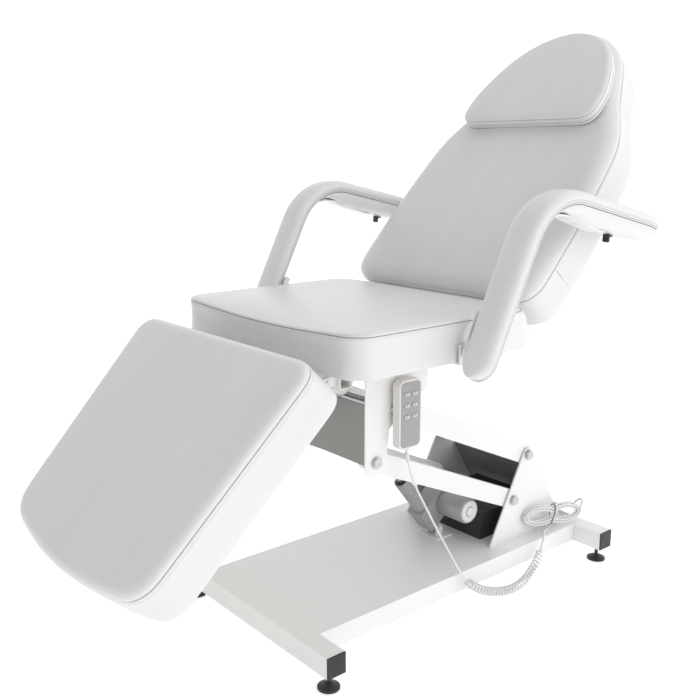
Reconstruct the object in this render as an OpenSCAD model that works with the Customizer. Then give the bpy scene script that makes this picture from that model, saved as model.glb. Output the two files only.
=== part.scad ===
// Powered podiatry chair: welded base, parallelogram lift, seat, backrest, leg rest and armrests.
// Millimetres. +Z is up, -Y is the foot end, +Y the head end, +X the right side seen from the foot end.
// Lengths along Y are measured from the front face of the front cross bar, then moved by origin_y.

/* [Base] */
// Length of each cross bar
bar_l = 600; // [480:10:720]
// Side of the square bar section
bar_w = 50; // [40:1:60]
// Wall of the bars
bar_wall = 2; // [1.5:0.5:4]
// Length of the base from face to face of the bars
base_l = 1026; // [1000:2:1100]
// Clear height under the bars
ground_gap = 40; // [32:1:50]
// Width of the folded base pan
pan_w = 425; // [380:5:460]
// Thickness of the pan sheet
pan_t = 2; // [1.5:0.5:4]
// Diameter of a levelling foot
foot_d = 50; // [36:1:60]
// Height of the foot pad
foot_pad_h = 13; // [8:1:18]
// Diameter of the foot stem
stem_d = 10; // [8:1:14]
// Distance of the stem from the bar end
foot_inset = 25; // [20:1:60]

/* [Rear bracket] */
// Outer width of bracket and tower
bracket_w = 325; // [300:5:345]
// Thickness of the bracket plates
bracket_t = 5; // [3:0.5:8]
// Distance of the bracket toe from the front of the base
bracket_toe_y = 672; // [650:1:690]
// Distance of the bracket heel from the front of the base
bracket_heel_y = 985; // [970:1:1000]
// Distance of the lower rear pivot from the front of the base
pivot_y = 761; // [750:1:775]
// Height of the lower rear pivot
pivot_z = 204; // [190:1:220]
// Run between the two pivots of one end
pivot_run = 56; // [40:1:70]
// Rise between the two pivots of one end
pivot_rise = 118; // [110:1:135]

/* [Lift arms] */
// Length of both lift arms between pivots
arm_l = 550; // [500:5:600]
// Angle of the arms above level at rest
arm_angle = 24; // [18:1:30]
// Width of one arm tube
arm_w = 30; // [20:1:40]
// Depth of the lower arm tubes
lower_arm_h = 50; // [40:1:54]
// Depth of the upper arm tubes
upper_arm_h = 56; // [40:1:60]
// Diameter of the arm shafts
shaft_d = 16; // [12:1:20]

/* [Tower] */
// Thickness of the tower sheet
tower_t = 4; // [3:0.5:6]
// Height of the lower edge of the tower
tower_low_z = 397; // [385:1:400]
// Distance of the tower front from the front of the base
tower_front_y = 226; // [215:1:230]
// Height of the tower's front plate
tower_plate_h = 146; // [100:2:160]

/* [Seat] */
// Width of the seat cushion
seat_w = 672; // [640:2:684]
// Depth of the seat cushion from front to back
seat_l = 558; // [540:2:560]
// Distance of the seat front from the front of the base
seat_y = 50; // [46:1:54]
// Height of the underside of the seat board
seat_z = 685; // [680:1:690]
// Thickness of the foam of the seat
seat_foam_h = 86; // [70:1:95]
// Thickness of the plywood boards
board_t = 12; // [9:1:18]
// Height of the seat frame tubes
rail_h = 30; // [25:1:35]

/* [Backrest] */
// Width of the backrest
back_w = 644; // [600:2:650]
// Length of the backrest
back_l = 924; // [860:1:940]
// Thickness of the backrest with its board
back_t = 128; // [110:1:140]
// Angle of the backrest above level at rest
back_angle = 47; // [42:1:52]
// Reach of the backrest's lower edge over the rear of the seat
back_lap = 29; // [18:1:32]
// Height of the backrest's lower edge above the underside of the seat board
back_rise = 115; // [111:1:127]
// Height of the head pillow along the backrest
pillow_l = 334; // [280:2:350]
// Width of the head pillow
pillow_w = 452; // [400:2:460]
// Thickness of the head pillow
pillow_t = 36; // [28:1:50]

/* [Leg rest] */
// Width of the leg rest at the knee
leg_w = 668; // [620:2:680]
// Width of the leg rest at the foot
leg_end_w = 600; // [560:2:640]
// Length of the leg rest
leg_l = 574; // [520:2:590]
// Thickness of the leg rest with its board
leg_t = 112; // [90:1:118]
// Angle of the leg rest below level at rest
leg_angle = 46; // [40:1:50]

/* [Armrests] */
// Width of an armrest pad
arm_pad_w = 84; // [70:1:100]
// Distance of the pad's middle from the middle of the chair
arm_pad_x = 406; // [392:1:420]
// Thickness of the pad along the upright
arm_upright_t = 34; // [28:1:44]
// Thickness of the pad under the forearm
arm_top_t = 72; // [56:1:78]
// Length of the upright part
arm_upright_l = 316; // [280:1:330]
// Length of the forearm part
arm_fore_l = 332; // [260:1:350]

/* [Actuators] */
// Outer diameter of the actuator tubes
tube_d = 40; // [36:1:42]
// Diameter of the push rods
rod_d = 18; // [14:1:20]
// Diameter of the motors
motor_d = 70; // [56:1:74]
// Length of the motors
motor_l = 90; // [70:1:94]
// Diameter of the actuator pins
pin_d = 10; // [8:1:12]

/* [Handset] */
// Width of the handset
handset_w = 70; // [60:1:72]
// Height of the handset
handset_l = 166; // [140:1:175]
// Thickness of the handset
handset_t = 24; // [20:1:30]
// Travel of a button
button_travel = 1; // [0.5:0.1:1.5]

/* [Cords] */
// Diameter of the mains lead
mains_d = 6; // [5:0.5:7]
// Diameter of the handset lead
lead_d = 5; // [4:0.5:5.5]
// Outer diameter of the curly cord
curly_d = 24; // [20:1:26]
// Number of curls
curls = 34; // [20:1:40]
// Number of loops in the tied hank
hank_loops = 4; // [2:2:4]

/* [Hidden] */

// Distance from the front of the base to the origin, the middle of the chair's length
origin_y = 426;
// Running clearance of a shaft in its bore, over the diameter
fit = 0.1;
// Overrun of a cut
cut = 1;
// Gap between pieces that lie beside each other
gap = 0.3;
// Gap of the washers beside the arms
washer_gap = 2.5;
// Heads and washers of the arms' shafts
head_d = 26;
head_h = 8;
washer_d = 30;
washer_t = 2;
round_n = 48;
small_n = 32;

bar_top = ground_gap + bar_w;
inner_w = bracket_w - 2 * bracket_t;
arms_w = inner_w - 2 * washer_gap;
low_pivot = [pivot_y, pivot_z];
high_pivot = low_pivot + [pivot_run, pivot_rise];
arm_dir = [-cos(arm_angle), sin(arm_angle)];
low_front = low_pivot + arm_l * arm_dir;
high_front = high_pivot + arm_l * arm_dir;
// The tower and all that it carries follow its lower hole, in whole millimetres
tower_hole = [258.55, 427.7];
carried = [for (i = [0, 1]) round(low_front[i] - tower_hole[i])];

// Rear bracket outline
bracket_top_r = 18;
heel_back_l = 34;
heel_back_h = 48;
heel_lip = 8;

// Tower outline
strap_t = 5;
tower_top_z = seat_z - strap_t;
tower_foot_l = 62;
tower_waist_l = 74;
tower_waist_z = 500;
tower_step_l = 110;
tower_step_z = 532;
tower_ear_l = 197;
tower_ear_z = 571;
tower_ear_r = 22;
tower_notch = 14;
plate_room = 4;
plate_cut = 14;

// Seat frame
strap_w = 40;
rail_w = 30;
rail_front = 30;
rail_rear = 18;
cross_l = 500;
lug_t = 6;
lug_x = 232;
lug_sink = 1;
knuckle_r = 11;
hinge_pin_d = 10;
leg_hinge_drop = 17;
back_hinge_back = 14;
back_hinge_rise = 27;
leg_pivot = [seat_y, seat_z - leg_hinge_drop];
back_pivot = [seat_y + seat_l + back_hinge_back, seat_z + back_hinge_rise];
back_y = seat_y + seat_l - back_lap;
back_z = seat_z + back_rise;

// Cushion shaping
seat_corner_r = 55;
seat_dip = 2;
seat_rear_r = 45;
seat_crown = 4;
wall_dip = 5;
roll_r = 35;
back_corner_r = 60;
leg_roll_r = 20;
leg_corner_r = 75;
leg_top_r = 45;
leg_bulge = 42;
leg_lip = 5;
face_gap = 131;
pillow_s = 538;
pillow_roll = 24;
crown_h = 4;

// Armrests
arm_lean = 63.5;
arm_slope = -12.5;
arm_droop = -21;
arm_bend_r = 172;
arm_droop_l = 90;
arm_thin_l = 90;
arm_tip_t = 28;
arm_foot = [293, 673];
arm_hinge = [353, 711];
arm_roll = 16;
arm_bolt_d = 8;
arm_bolt_head = 14;
arm_plate_x = 340;
arm_plate_w = 34;
arm_plate_h = 44;
core_t = 4;
core_w = 44;
core_x = 348;

// Actuators, with their places along Y and Z
lift_anchor = [624, 114];
lift_reach = 354;
back_anchor = [385, 575];
back_lever_r = 95;
back_lever_angle = 45;
leg_anchor = [250, 594];
leg_lever_s = 150;
leg_lever_d = 10;
lift_tube_l = 210;
back_tube_l = 215;
leg_tube_l = 255;
lift_rod_l = 150;
back_rod_l = 140;
leg_rod_l = 126;
eye_r = 12;
eye_w = 26;
gear_start = 20;
gear_l = 74;
gear_w = 52;
gear_h = 54;
bore_start = 58;
tube_wall = 3;
motor_u = 50;
motor_off = 57;
motor_side_off = 35;
end_cap_h = 6;
clevis_w = 80;
clevis_l = 60;
lug_in = 14;
pin_l = 44;
pin_head_d = 16;
pin_head_h = 3;

// Handset
// The handset hangs in front of a shaft's head
handset_clear = 0.5;
handset_x = bracket_w / 2 + washer_t + head_h + handset_clear;
handset_y = 300;
handset_z = 454;
handset_r = 16;
panel_t = 1.2;
panel_rim = 5;
button_w = 15;
button_h = 8;
button_rise = 1.5;
button_row = 27;
button_first = 34;
button_back = 3;
hook_t = 2;
peg_d = 8;
peg_drop = 30;
hook_plate_h = 36;
lift_off = 20;

// Glands and plug
gland_d = 12;
gland_l = 30;
plug_d = 34;
plug_l = 38;
plug_neck_l = 24;
plug_pin_d = 4.8;
plug_pin_l = 19;
plug_pin_gap = 19;
box_w = 220;
box_l = 230;
box_h = 76;
box_y = 690;
mains_x = 60;
tail_x = 100;
gland_z = 114;

module from_front() translate([0, -origin_y, 0]) children();
module on_tower() from_front() translate([0, carried[0], carried[1]]) children();
// Draws a Y-Z outline and gives it a width along X
module across(x, w) translate([x, 0, 0]) rotate([90, 0, 90]) linear_extrude(w) children();
module across_mid(w) across(-w / 2, w) children();
module both_sides() { children(); mirror([1, 0, 0]) children(); }
module rod_x(x, l, d, n = round_n) translate([x, 0, 0]) rotate([0, 90, 0]) cylinder(h = l, d = d, $fn = n);
module at_yz(p) translate([0, p[0], p[1]]) children();
// Square tube along X with its lower front edge at p
module tube_x(p, w, l, h, wall) translate([-w / 2, p[0], p[1]]) difference() {
    cube([w, l, h]);
    translate([-cut, wall, wall]) cube([w + 2 * cut, l - 2 * wall, h - 2 * wall]);
}

function unit(v) = v / norm(v);
function flip(v) = [-v[1], v[0]];
function arc(c, r, a0, a1, n) = [for (i = [0:n]) let (a = a0 + (a1 - a0) * i / n) c + r * [cos(a), sin(a)]];
function turned(v, a) = [v[0] * cos(a) - v[1] * sin(a), v[0] * sin(a) + v[1] * cos(a)];

// Base

module crossbar(y) from_front() difference() {
    tube_x([y, ground_gap], bar_l, bar_w, bar_w, bar_wall);
    both_sides() translate([bar_l / 2 - foot_inset, y + bar_w / 2, ground_gap - cut])
        cylinder(h = bar_wall + 2 * cut, d = stem_d + fit, $fn = round_n);
}
module front_crossbar() color("white") crossbar(0);
module rear_crossbar() color("white") crossbar(base_l - bar_w);

module base_pan() color("white") from_front() {
    l = base_l - 2 * bar_w;
    translate([-pan_w / 2, bar_w, ground_gap]) difference() {
        cube([pan_w, l, bar_w]);
        translate([pan_t, -cut, -cut]) cube([pan_w - 2 * pan_t, l + 2 * cut, bar_w - pan_t + cut]);
    }
}

cap_t = 4;
cap_plug = 10;
module bar_caps() color("black") from_front()
    for (y = [0, base_l - bar_w]) both_sides() {
        translate([bar_l / 2, y, ground_gap]) cube([cap_t, bar_w, bar_w]);
        translate([bar_l / 2 - cap_plug, y + bar_wall, ground_gap + bar_wall])
            cube([cap_plug, bar_w - 2 * bar_wall, bar_w - 2 * bar_wall]);
    }

foot_taper = 8;
stem_top = 20;
nut_h = 8;
nut_d = 18;
module foot(side, y) color("black") from_front() translate([side * (bar_l / 2 - foot_inset), y + bar_w / 2, 0]) {
    cylinder(h = foot_pad_h - foot_taper, d = foot_d, $fn = round_n);
    translate([0, 0, foot_pad_h - foot_taper])
        cylinder(h = foot_taper, d1 = foot_d, d2 = nut_d, $fn = round_n);
    cylinder(h = ground_gap + stem_top, d = stem_d, $fn = round_n);
    translate([0, 0, ground_gap - nut_h - gap]) cylinder(h = nut_h, d = nut_d, $fn = 6);
}
module foot_front_left() foot(-1, 0);
module foot_front_right() foot(1, 0);
module foot_rear_left() foot(-1, base_l - bar_w);
module foot_rear_right() foot(1, base_l - bar_w);

// Rear bracket with the arms' rear pivots

knee = [bracket_heel_y - heel_back_l, bar_top + heel_back_h];
rear_dir = unit(knee - high_pivot);
rear_top = high_pivot - bracket_top_r * flip(rear_dir) * -1;
front_dir = unit(high_pivot - [bracket_toe_y, bar_top]);
front_top = high_pivot + bracket_top_r * flip(front_dir);
module bracket_outline() {
    polygon([[bracket_toe_y, bar_top], [bracket_heel_y, bar_top],
        [bracket_heel_y - heel_lip / 2, bar_top + heel_lip], knee, rear_top, front_top]);
    translate(high_pivot) circle(r = bracket_top_r, $fn = round_n);
}
panel_share = 0.68;
module rear_bracket() color("white") from_front() difference() {
    union() {
        both_sides() across(bracket_w / 2 - bracket_t, bracket_t) bracket_outline();
        across_mid(inner_w) polygon([knee, knee + panel_share * (rear_top - knee),
            knee + panel_share * (rear_top - knee) - bracket_t * unit(flip(rear_top - knee)) * -1,
            knee - bracket_t * unit(flip(rear_top - knee)) * -1]);
    }
    for (p = [low_pivot, high_pivot]) at_yz(p) rod_x(-bracket_w, 2 * bracket_w, shaft_d + fit);
}

// Shaft through both plates with a washer and a hexagon head at each end
module shaft(p, w) at_yz(p) {
    rod_x(-w / 2 - washer_t, w + 2 * washer_t, shaft_d);
    both_sides() {
        rod_x(w / 2, washer_t, washer_d);
        rod_x(w / 2 + washer_t, head_h, head_d, 6);
    }
}
module bracket_shafts() color("silver") from_front() {
    shaft(low_pivot, bracket_w);
    shaft(high_pivot, bracket_w);
}

// Lift arms: two rectangular tubes, joined by cross tubes

arm_wall = 2.5;
cross_h = 30;
lower_cross = [80, 400];
upper_cross = [70, 300];
module arm(p, h, crosses) difference() {
    union() {
        both_sides() across(arms_w / 2 - arm_w, arm_w) {
            translate(p) rotate(180 - arm_angle) {
                translate([0, -h / 2]) square([arm_l, h]);
                circle(d = h, $fn = round_n);
                translate([arm_l, 0]) circle(d = h, $fn = round_n);
            }
        }
        across_mid(arms_w - 2 * arm_w) for (t = crosses)
            translate(p) rotate(180 - arm_angle) translate([t - cross_h / 2, -cross_h / 2]) square(cross_h);
    }
    both_sides() across(arms_w / 2 - arm_w + arm_wall, arm_w - 2 * arm_wall)
        translate(p) rotate(180 - arm_angle)
            translate([h / 2, -h / 2 + arm_wall]) square([arm_l - h, h - 2 * arm_wall]);
    across_mid(arms_w - 2 * arm_w - 2 * arm_wall) for (t = crosses)
        translate(p) rotate(180 - arm_angle)
            translate([t - cross_h / 2 + arm_wall, -cross_h / 2 + arm_wall]) square(cross_h - 2 * arm_wall);
    for (q = [p, p + arm_l * arm_dir]) at_yz(q) rod_x(-arms_w, 2 * arms_w, shaft_d + fit);
}
lift_lever = low_pivot + lift_reach * arm_dir;
module lower_arm() color("white") from_front() {
    arm(low_pivot, lower_arm_h, lower_cross);
    // Two ears on the front cross tube carry the push rod
    both_sides() across(lug_in, lug_t) difference() {
        union() {
            translate(lift_lever) circle(r = eye_r, $fn = round_n);
            translate(low_pivot) rotate(180 - arm_angle) translate([lift_reach, -eye_r])
                square([lower_cross[1] - cross_h / 2 - lift_reach, 2 * eye_r]);
        }
        translate(lift_lever) circle(d = pin_d + fit, $fn = round_n);
    }
}
open_fit = 1.6;
module upper_arm() color("white") from_front() difference() {
    arm(high_pivot, upper_arm_h, upper_cross);
    at_yz(high_front) rod_x(-arms_w, 2 * arms_w, shaft_d + open_fit);
}

// Pin with a head at each end, between two ears
module ear_pin(p) at_yz(p) {
    rod_x(-pin_l / 2, pin_l, pin_d);
    both_sides() rod_x(pin_l / 2, pin_head_h, pin_head_d);
}
module lower_arm_pins() color("silver") from_front() ear_pin(lift_lever);

// Tower: folded sheet with two side plates and a front plate

module tower_outline() {
    y = tower_front_y;
    polygon([[y + tower_notch, tower_low_z], [y + tower_foot_l, tower_low_z],
        [y + tower_waist_l, tower_waist_z], [y + tower_step_l, tower_step_z],
        [y + tower_step_l + tower_ear_r, tower_ear_z], [y + tower_ear_l - tower_ear_r, tower_ear_z],
        [y + tower_ear_l, tower_ear_z + tower_ear_r], [y + tower_ear_l, tower_top_z],
        [y, tower_top_z], [y, tower_low_z + tower_notch]]);
    translate([y + tower_ear_l - tower_ear_r, tower_ear_z + tower_ear_r]) circle(r = tower_ear_r, $fn = round_n);
}
module tower() color("white") from_front() {
    difference() {
        translate([0, carried[0], carried[1]])
            both_sides() across(bracket_w / 2 - tower_t, tower_t) tower_outline();
        for (p = [low_front, high_front]) at_yz(p) rod_x(-bracket_w, 2 * bracket_w, shaft_d + fit);
    }
    plate_z = tower_low_z + 2 * tower_notch;
    // The front plate is cut out where the leg rest's actuator passes
    translate([0, carried[0], carried[1]]) difference() {
        translate([-bracket_w / 2 + tower_t, tower_front_y, plate_z])
            cube([bracket_w - 2 * tower_t, tower_t, tower_plate_h]);
        translate([-gear_w / 2 - plate_room, tower_front_y - cut, plate_z + tower_plate_h - plate_cut])
            cube([gear_w + 2 * plate_room, tower_t + 2 * cut, plate_cut + cut]);
    }
}
module tower_shaft() color("silver") from_front() {
    shaft(low_front, bracket_w);
    shaft(high_front, bracket_w);
}

// Seat frame with hinge lugs and actuator ears

rails_w = bracket_w - 2 * tower_t;
rail_z = tower_top_z - rail_h;
rear_tube_y = seat_y + seat_l - rail_rear - rail_w;
front_tube_y = seat_y + rail_front;
mid_tube_y = 300;
mid_tube_z = rail_z - rail_h;
module lug(x) across(x, lug_t) children();
module seat_frame() color("white") on_tower() {
    both_sides() translate([rails_w / 2 - rail_w, front_tube_y, rail_z])
        cube([rail_w, rear_tube_y + rail_w - front_tube_y, rail_h]);
    for (y = [front_tube_y, rear_tube_y]) {
        tube_x([y, rail_z], cross_l, rail_w, rail_h, bar_wall);
        translate([-cross_l / 2, y, tower_top_z - lug_sink]) cube([cross_l, rail_w, strap_t + lug_sink]);
    }
    tube_x([mid_tube_y, mid_tube_z], rails_w, rail_w, rail_h, bar_wall);
    // Front hinge lugs
    both_sides() lug(lug_x) difference() {
        union() {
            translate(leg_pivot) circle(r = knuckle_r, $fn = round_n);
            translate([leg_pivot[0], leg_pivot[1] - knuckle_r])
                square([front_tube_y - leg_pivot[0] + lug_sink, 2 * knuckle_r]);
        }
        translate(leg_pivot) circle(d = hinge_pin_d + fit, $fn = round_n);
    }
    // Rear hinge lugs
    both_sides() lug(lug_x) difference() {
        union() {
            translate(back_pivot) circle(r = knuckle_r, $fn = round_n);
            translate([back_pivot[0] - knuckle_r, rail_z]) square([2 * knuckle_r, back_pivot[1] - rail_z]);
            translate([rear_tube_y + rail_w - lug_sink, rail_z])
                square([back_pivot[0] - rear_tube_y - rail_w + lug_sink, rail_h]);
        }
        translate(back_pivot) circle(d = hinge_pin_d + fit, $fn = round_n);
    }
    // Ears for the leg and backrest actuators
    both_sides() lug(lug_in) difference() {
        union() {
            translate(leg_anchor) circle(r = eye_r, $fn = round_n);
            polygon([leg_anchor + [0, -eye_r], [mid_tube_y, mid_tube_z], [mid_tube_y, mid_tube_z + rail_h],
                leg_anchor + [0, eye_r]]);
        }
        translate(leg_anchor) circle(d = pin_d + fit, $fn = round_n);
    }
    both_sides() lug(lug_in) difference() {
        union() {
            translate(back_anchor) circle(r = eye_r, $fn = round_n);
            polygon([back_anchor + [0, -eye_r], back_anchor + [0, eye_r],
                [mid_tube_y + rail_w, mid_tube_z + rail_h], [mid_tube_y + rail_w, mid_tube_z]]);
        }
        translate(back_anchor) circle(d = pin_d + fit, $fn = round_n);
    }
}

hinge_pin_l = 20;
module hinge_pin(p) both_sides() at_yz(p) {
    rod_x(lug_x - pin_head_h, hinge_pin_l, hinge_pin_d);
    rod_x(lug_x - pin_head_h, pin_head_h - gap, pin_head_d);
}
module seat_pins() color("silver") on_tower() {
    hinge_pin(leg_pivot);
    hinge_pin(back_pivot);
    ear_pin(leg_anchor);
    ear_pin(back_anchor);
}

// Cushions: rings of points lofted between a back centre and a front centre

// Moves an outline point towards a centre by a set distance
function drawn(p, c, d) = let (v = p - c) c + v * (1 - d / norm(v));
function ring(pts, c, d, z) = [for (p = pts) let (q = drawn(p, c, d)) [q[0], q[1], z]];
function ring_share(pts, c, k, z) = [for (p = pts) let (q = c + (p - c) * k) [q[0], q[1], z]];
module loft(rings, low, high) {
    n = len(rings[0]);
    m = len(rings);
    pts = concat([low], [for (r = rings) each r], [high]);
    polyhedron(points = pts, faces = concat(
        [for (j = [0:n - 1]) [0, 1 + j, 1 + (j + 1) % n]],
        [for (i = [0:m - 2]) for (j = [0:n - 1]) let (a = 1 + i * n + j, b = 1 + i * n + (j + 1) % n)
            [a, a + n, b + n]],
        [for (i = [0:m - 2]) for (j = [0:n - 1]) let (a = 1 + i * n + j, b = 1 + i * n + (j + 1) % n)
            [a, b + n, b]],
        [for (j = [0:n - 1]) [m * n + 1, 1 + (m - 1) * n + (j + 1) % n, 1 + (m - 1) * n + j]]));
}
// Points between the ends of each side of an outline whose corners are arcs
function filled(a, b, n) = [for (i = [1:n]) a + (b - a) * i / (n + 1)];
function box_outline(w, l, r, steps, mids) = let (
    c1 = arc([w / 2 - r, r], r, -90, 0, steps),
    c2 = arc([w / 2 - r, l - r], r, 0, 90, steps),
    c3 = arc([-w / 2 + r, l - r], r, 90, 180, steps),
    c4 = arc([-w / 2 + r, r], r, 180, 270, steps))
    concat(c1, filled(c1[steps], c2[0], mids), c2, filled(c2[steps], c3[0], mids),
        c3, filled(c3[steps], c4[0], mids), c4, filled(c4[steps], c1[0], mids));

seat_outline = box_outline(seat_w, seat_l, seat_corner_r, 3, 4);
seat_mid = [0, seat_l / 2];
seat_wall_h = seat_foam_h - crown_h - seat_crown;
// Rear upper edge of the seat is a quarter round
function rear_limit(z) = let (s = z - (seat_foam_h - crown_h - seat_rear_r))
    s < 0 ? seat_l : seat_l - seat_rear_r + sqrt(max(0, seat_rear_r * seat_rear_r - s * s));
function seat_ring(d, z) = [for (p = ring(seat_outline, seat_mid, d, z)) [p[0], min(p[1], rear_limit(z)), p[2]]];
function seat_share(k, z) = [for (p = ring_share(seat_outline, seat_mid, k, z))
    [p[0], min(p[1], seat_l - seat_rear_r), p[2]]];
module seat_cushion() color("whitesmoke") on_tower() translate([0, seat_y, seat_z + board_t])
    loft([seat_ring(seat_dip, 0), seat_ring(0, wall_dip), seat_ring(seat_dip, seat_wall_h * 0.5),
        seat_ring(seat_dip / 2, seat_wall_h * 0.75), seat_ring(0, seat_wall_h),
        seat_ring(wall_dip, seat_wall_h + seat_crown * 0.7),
        seat_share(0.86, seat_foam_h - crown_h), seat_share(0.5, seat_foam_h)],
        [seat_mid[0], seat_mid[1], 0], [seat_mid[0], seat_mid[1], seat_foam_h]);
board_inset = 3;
module seat_board() color("burlywood") on_tower() translate([0, seat_y, seat_z])
    linear_extrude(board_t) polygon([for (p = seat_outline) drawn(p, seat_mid, board_inset)]);

// Backrest plan: half widths and places along the length, as shares
back_width_share = [1, 0.985, 0.955, 0.915, 0.815, 0.722, 0.66, 0.55, 0.488, 0.4, 0.31, 0.2, 0.07];
back_place_share = [0.22, 0.368, 0.497, 0.562, 0.636, 0.693, 0.747, 0.839, 0.88, 0.92, 0.951, 0.978, 0.998];
back_half = concat(arc([back_w / 2 - back_corner_r, back_corner_r], back_corner_r, -90, 0, 3),
    [for (i = [0:len(back_width_share) - 1])
        [back_width_share[i] * back_w / 2, back_place_share[i] * back_l]]);
function mirrored(half) = concat(half, [for (i = [len(half) - 1:-1:0]) [-half[i][0], half[i][1]]]);
back_outline = concat(mirrored(back_half), filled([-back_half[0][0], 0], [back_half[0][0], 0], 4));
back_mid = [0, back_l * 0.47];
back_foam = back_t - board_t;
module at_back() on_tower() at_yz([back_y, back_z]) rotate([back_angle, 0, 0]) children();
module backrest_cushion() color("whitesmoke") at_back()
    loft([ring(back_outline, back_mid, wall_dip, -back_foam), ring(back_outline, back_mid, 0, -back_foam + wall_dip),
        ring(back_outline, back_mid, wall_dip, -(back_foam + roll_r) / 2),
        ring(back_outline, back_mid, 0, -roll_r - gap),
        ring(back_outline, back_mid, roll_r * (1 - cos(25)), -roll_r * (1 - sin(25))),
        ring(back_outline, back_mid, roll_r * (1 - cos(55)), -roll_r * (1 - sin(55))),
        ring(back_outline, back_mid, roll_r, 0),
        ring_share(back_outline, back_mid, 0.5, crown_h)],
        [back_mid[0], back_mid[1], -back_foam], [back_mid[0], back_mid[1], crown_h]);
module backrest_board() color("burlywood") at_back() translate([0, 0, -back_t])
    linear_extrude(board_t) polygon([for (p = back_outline) drawn(p, back_mid, wall_dip + board_inset)]);

// Head pillow, a D standing on its straight edge
pillow_width_share = [1, 0.985, 0.935, 0.85, 0.745, 0.6, 0.42, 0.22, 0.07];
pillow_place_share = [0.2, 0.31, 0.43, 0.58, 0.71, 0.83, 0.92, 0.975, 0.997];
pillow_corner = 0.12;
pillow_half = concat(arc([pillow_w / 2 - pillow_l * pillow_corner, pillow_l * pillow_corner],
        pillow_l * pillow_corner, -90, -15, 3),
    [for (i = [0:len(pillow_width_share) - 1])
        [pillow_width_share[i] * pillow_w / 2, pillow_place_share[i] * pillow_l]]);
pillow_outline = concat(mirrored(pillow_half), filled([-pillow_half[0][0], 0], [pillow_half[0][0], 0], 3));
pillow_mid = [0, pillow_l * 0.42];
module head_pillow() color("whitesmoke") at_back() translate([0, pillow_s, crown_h + 2 * gap])
    loft([ring(pillow_outline, pillow_mid, pillow_roll / 2, 0),
        ring(pillow_outline, pillow_mid, 0, (pillow_t - pillow_roll) / 2),
        ring(pillow_outline, pillow_mid, 0, pillow_t - pillow_roll),
        ring(pillow_outline, pillow_mid, pillow_roll * (1 - cos(45)), pillow_t - pillow_roll * (1 - sin(45))),
        ring(pillow_outline, pillow_mid, pillow_roll, pillow_t),
        ring_share(pillow_outline, pillow_mid, 0.5, pillow_t + crown_h)],
        [pillow_mid[0], pillow_mid[1], 0], [pillow_mid[0], pillow_mid[1], pillow_t + crown_h]);

// Steel frame behind the backrest, with hinge plates and the actuator lever
back_rail_x = 140;
back_rail_w = 25;
back_rail_end = 680;
back_rail_start = 18;
back_tubes_share = [0, 0.5];
hinge_plate_l = 60;
back_hinge_l = turned(back_pivot - [back_y, back_z], -back_angle);
back_lever = back_pivot + back_lever_r * [sin(back_lever_angle), -cos(back_lever_angle)];
back_lever_local = turned(back_lever - [back_y, back_z], -back_angle);
module backrest_frame() color("white") at_back() {
    z0 = -back_t - back_rail_w;
    both_sides() translate([back_rail_x, back_rail_start, z0])
        cube([back_rail_w, back_rail_end - back_rail_start, back_rail_w]);
    for (s = [back_rail_start, back_rail_end * back_tubes_share[1], back_rail_end - back_rail_w])
        translate([-back_rail_x, s, z0]) cube([2 * back_rail_x, back_rail_w, back_rail_w]);
    both_sides() translate([back_rail_x + back_rail_w, back_rail_start, z0])
        cube([cross_l / 2 - back_rail_x - back_rail_w, back_rail_w, back_rail_w]);
    both_sides() lug(lug_x + lug_t + gap) difference() {
        union() {
            translate(back_hinge_l) circle(r = knuckle_r, $fn = round_n);
            translate([back_hinge_l[0] - knuckle_r, z0]) square([2 * knuckle_r, back_hinge_l[1] - z0]);
            translate([back_hinge_l[0], z0]) square([hinge_plate_l, back_rail_w - gap]);
        }
        translate(back_hinge_l) circle(d = hinge_pin_d + fit, $fn = round_n);
    }
    both_sides() lug(lug_in) difference() {
        union() {
            translate(back_lever_local) circle(r = eye_r, $fn = round_n);
            polygon([back_lever_local + [-eye_r, 0], [back_rail_start, z0 + back_rail_w],
                [back_rail_start + back_rail_w, z0], back_lever_local + [eye_r, 0]]);
        }
        translate(back_lever_local) circle(d = pin_d + fit, $fn = round_n);
    }
}
module backrest_pin() color("silver") on_tower() ear_pin(back_lever);

// Leg rest

leg_back_off = 19;
leg_origin = leg_pivot + turned([-leg_back_off, face_gap], leg_angle);
leg_end_r = (leg_end_w * leg_end_w / 4 + leg_bulge * leg_bulge) / (2 * leg_bulge);
leg_tip = leg_lip - leg_l;
leg_arc_mid = [0, leg_tip + leg_end_r];
leg_corner_x = leg_end_w / 2 - leg_corner_r;
leg_corner_y = leg_arc_mid[1] - sqrt(pow(leg_end_r - leg_corner_r, 2) - pow(leg_corner_x, 2));
leg_bow = asin(leg_corner_x / (leg_end_r - leg_corner_r));
leg_right = concat(
    arc([leg_corner_x, leg_corner_y], leg_corner_r, -90 + leg_bow, -4, 4),
    arc([leg_w / 2 - leg_top_r, leg_lip - leg_top_r], leg_top_r, 0, 90, 3));
leg_outline = concat(leg_right, filled(leg_right[8], [-leg_right[8][0], leg_right[8][1]], 3),
    [for (i = [8:-1:0]) [-leg_right[i][0], leg_right[i][1]]],
    arc(leg_arc_mid, leg_end_r, -90 - leg_bow * 0.75, -90 + leg_bow * 0.75, 4));
leg_mid = [0, leg_lip - leg_l * 0.5];
leg_foam = leg_t - board_t;
module at_leg() on_tower() at_yz(leg_origin) rotate([leg_angle, 0, 0]) children();
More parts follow.
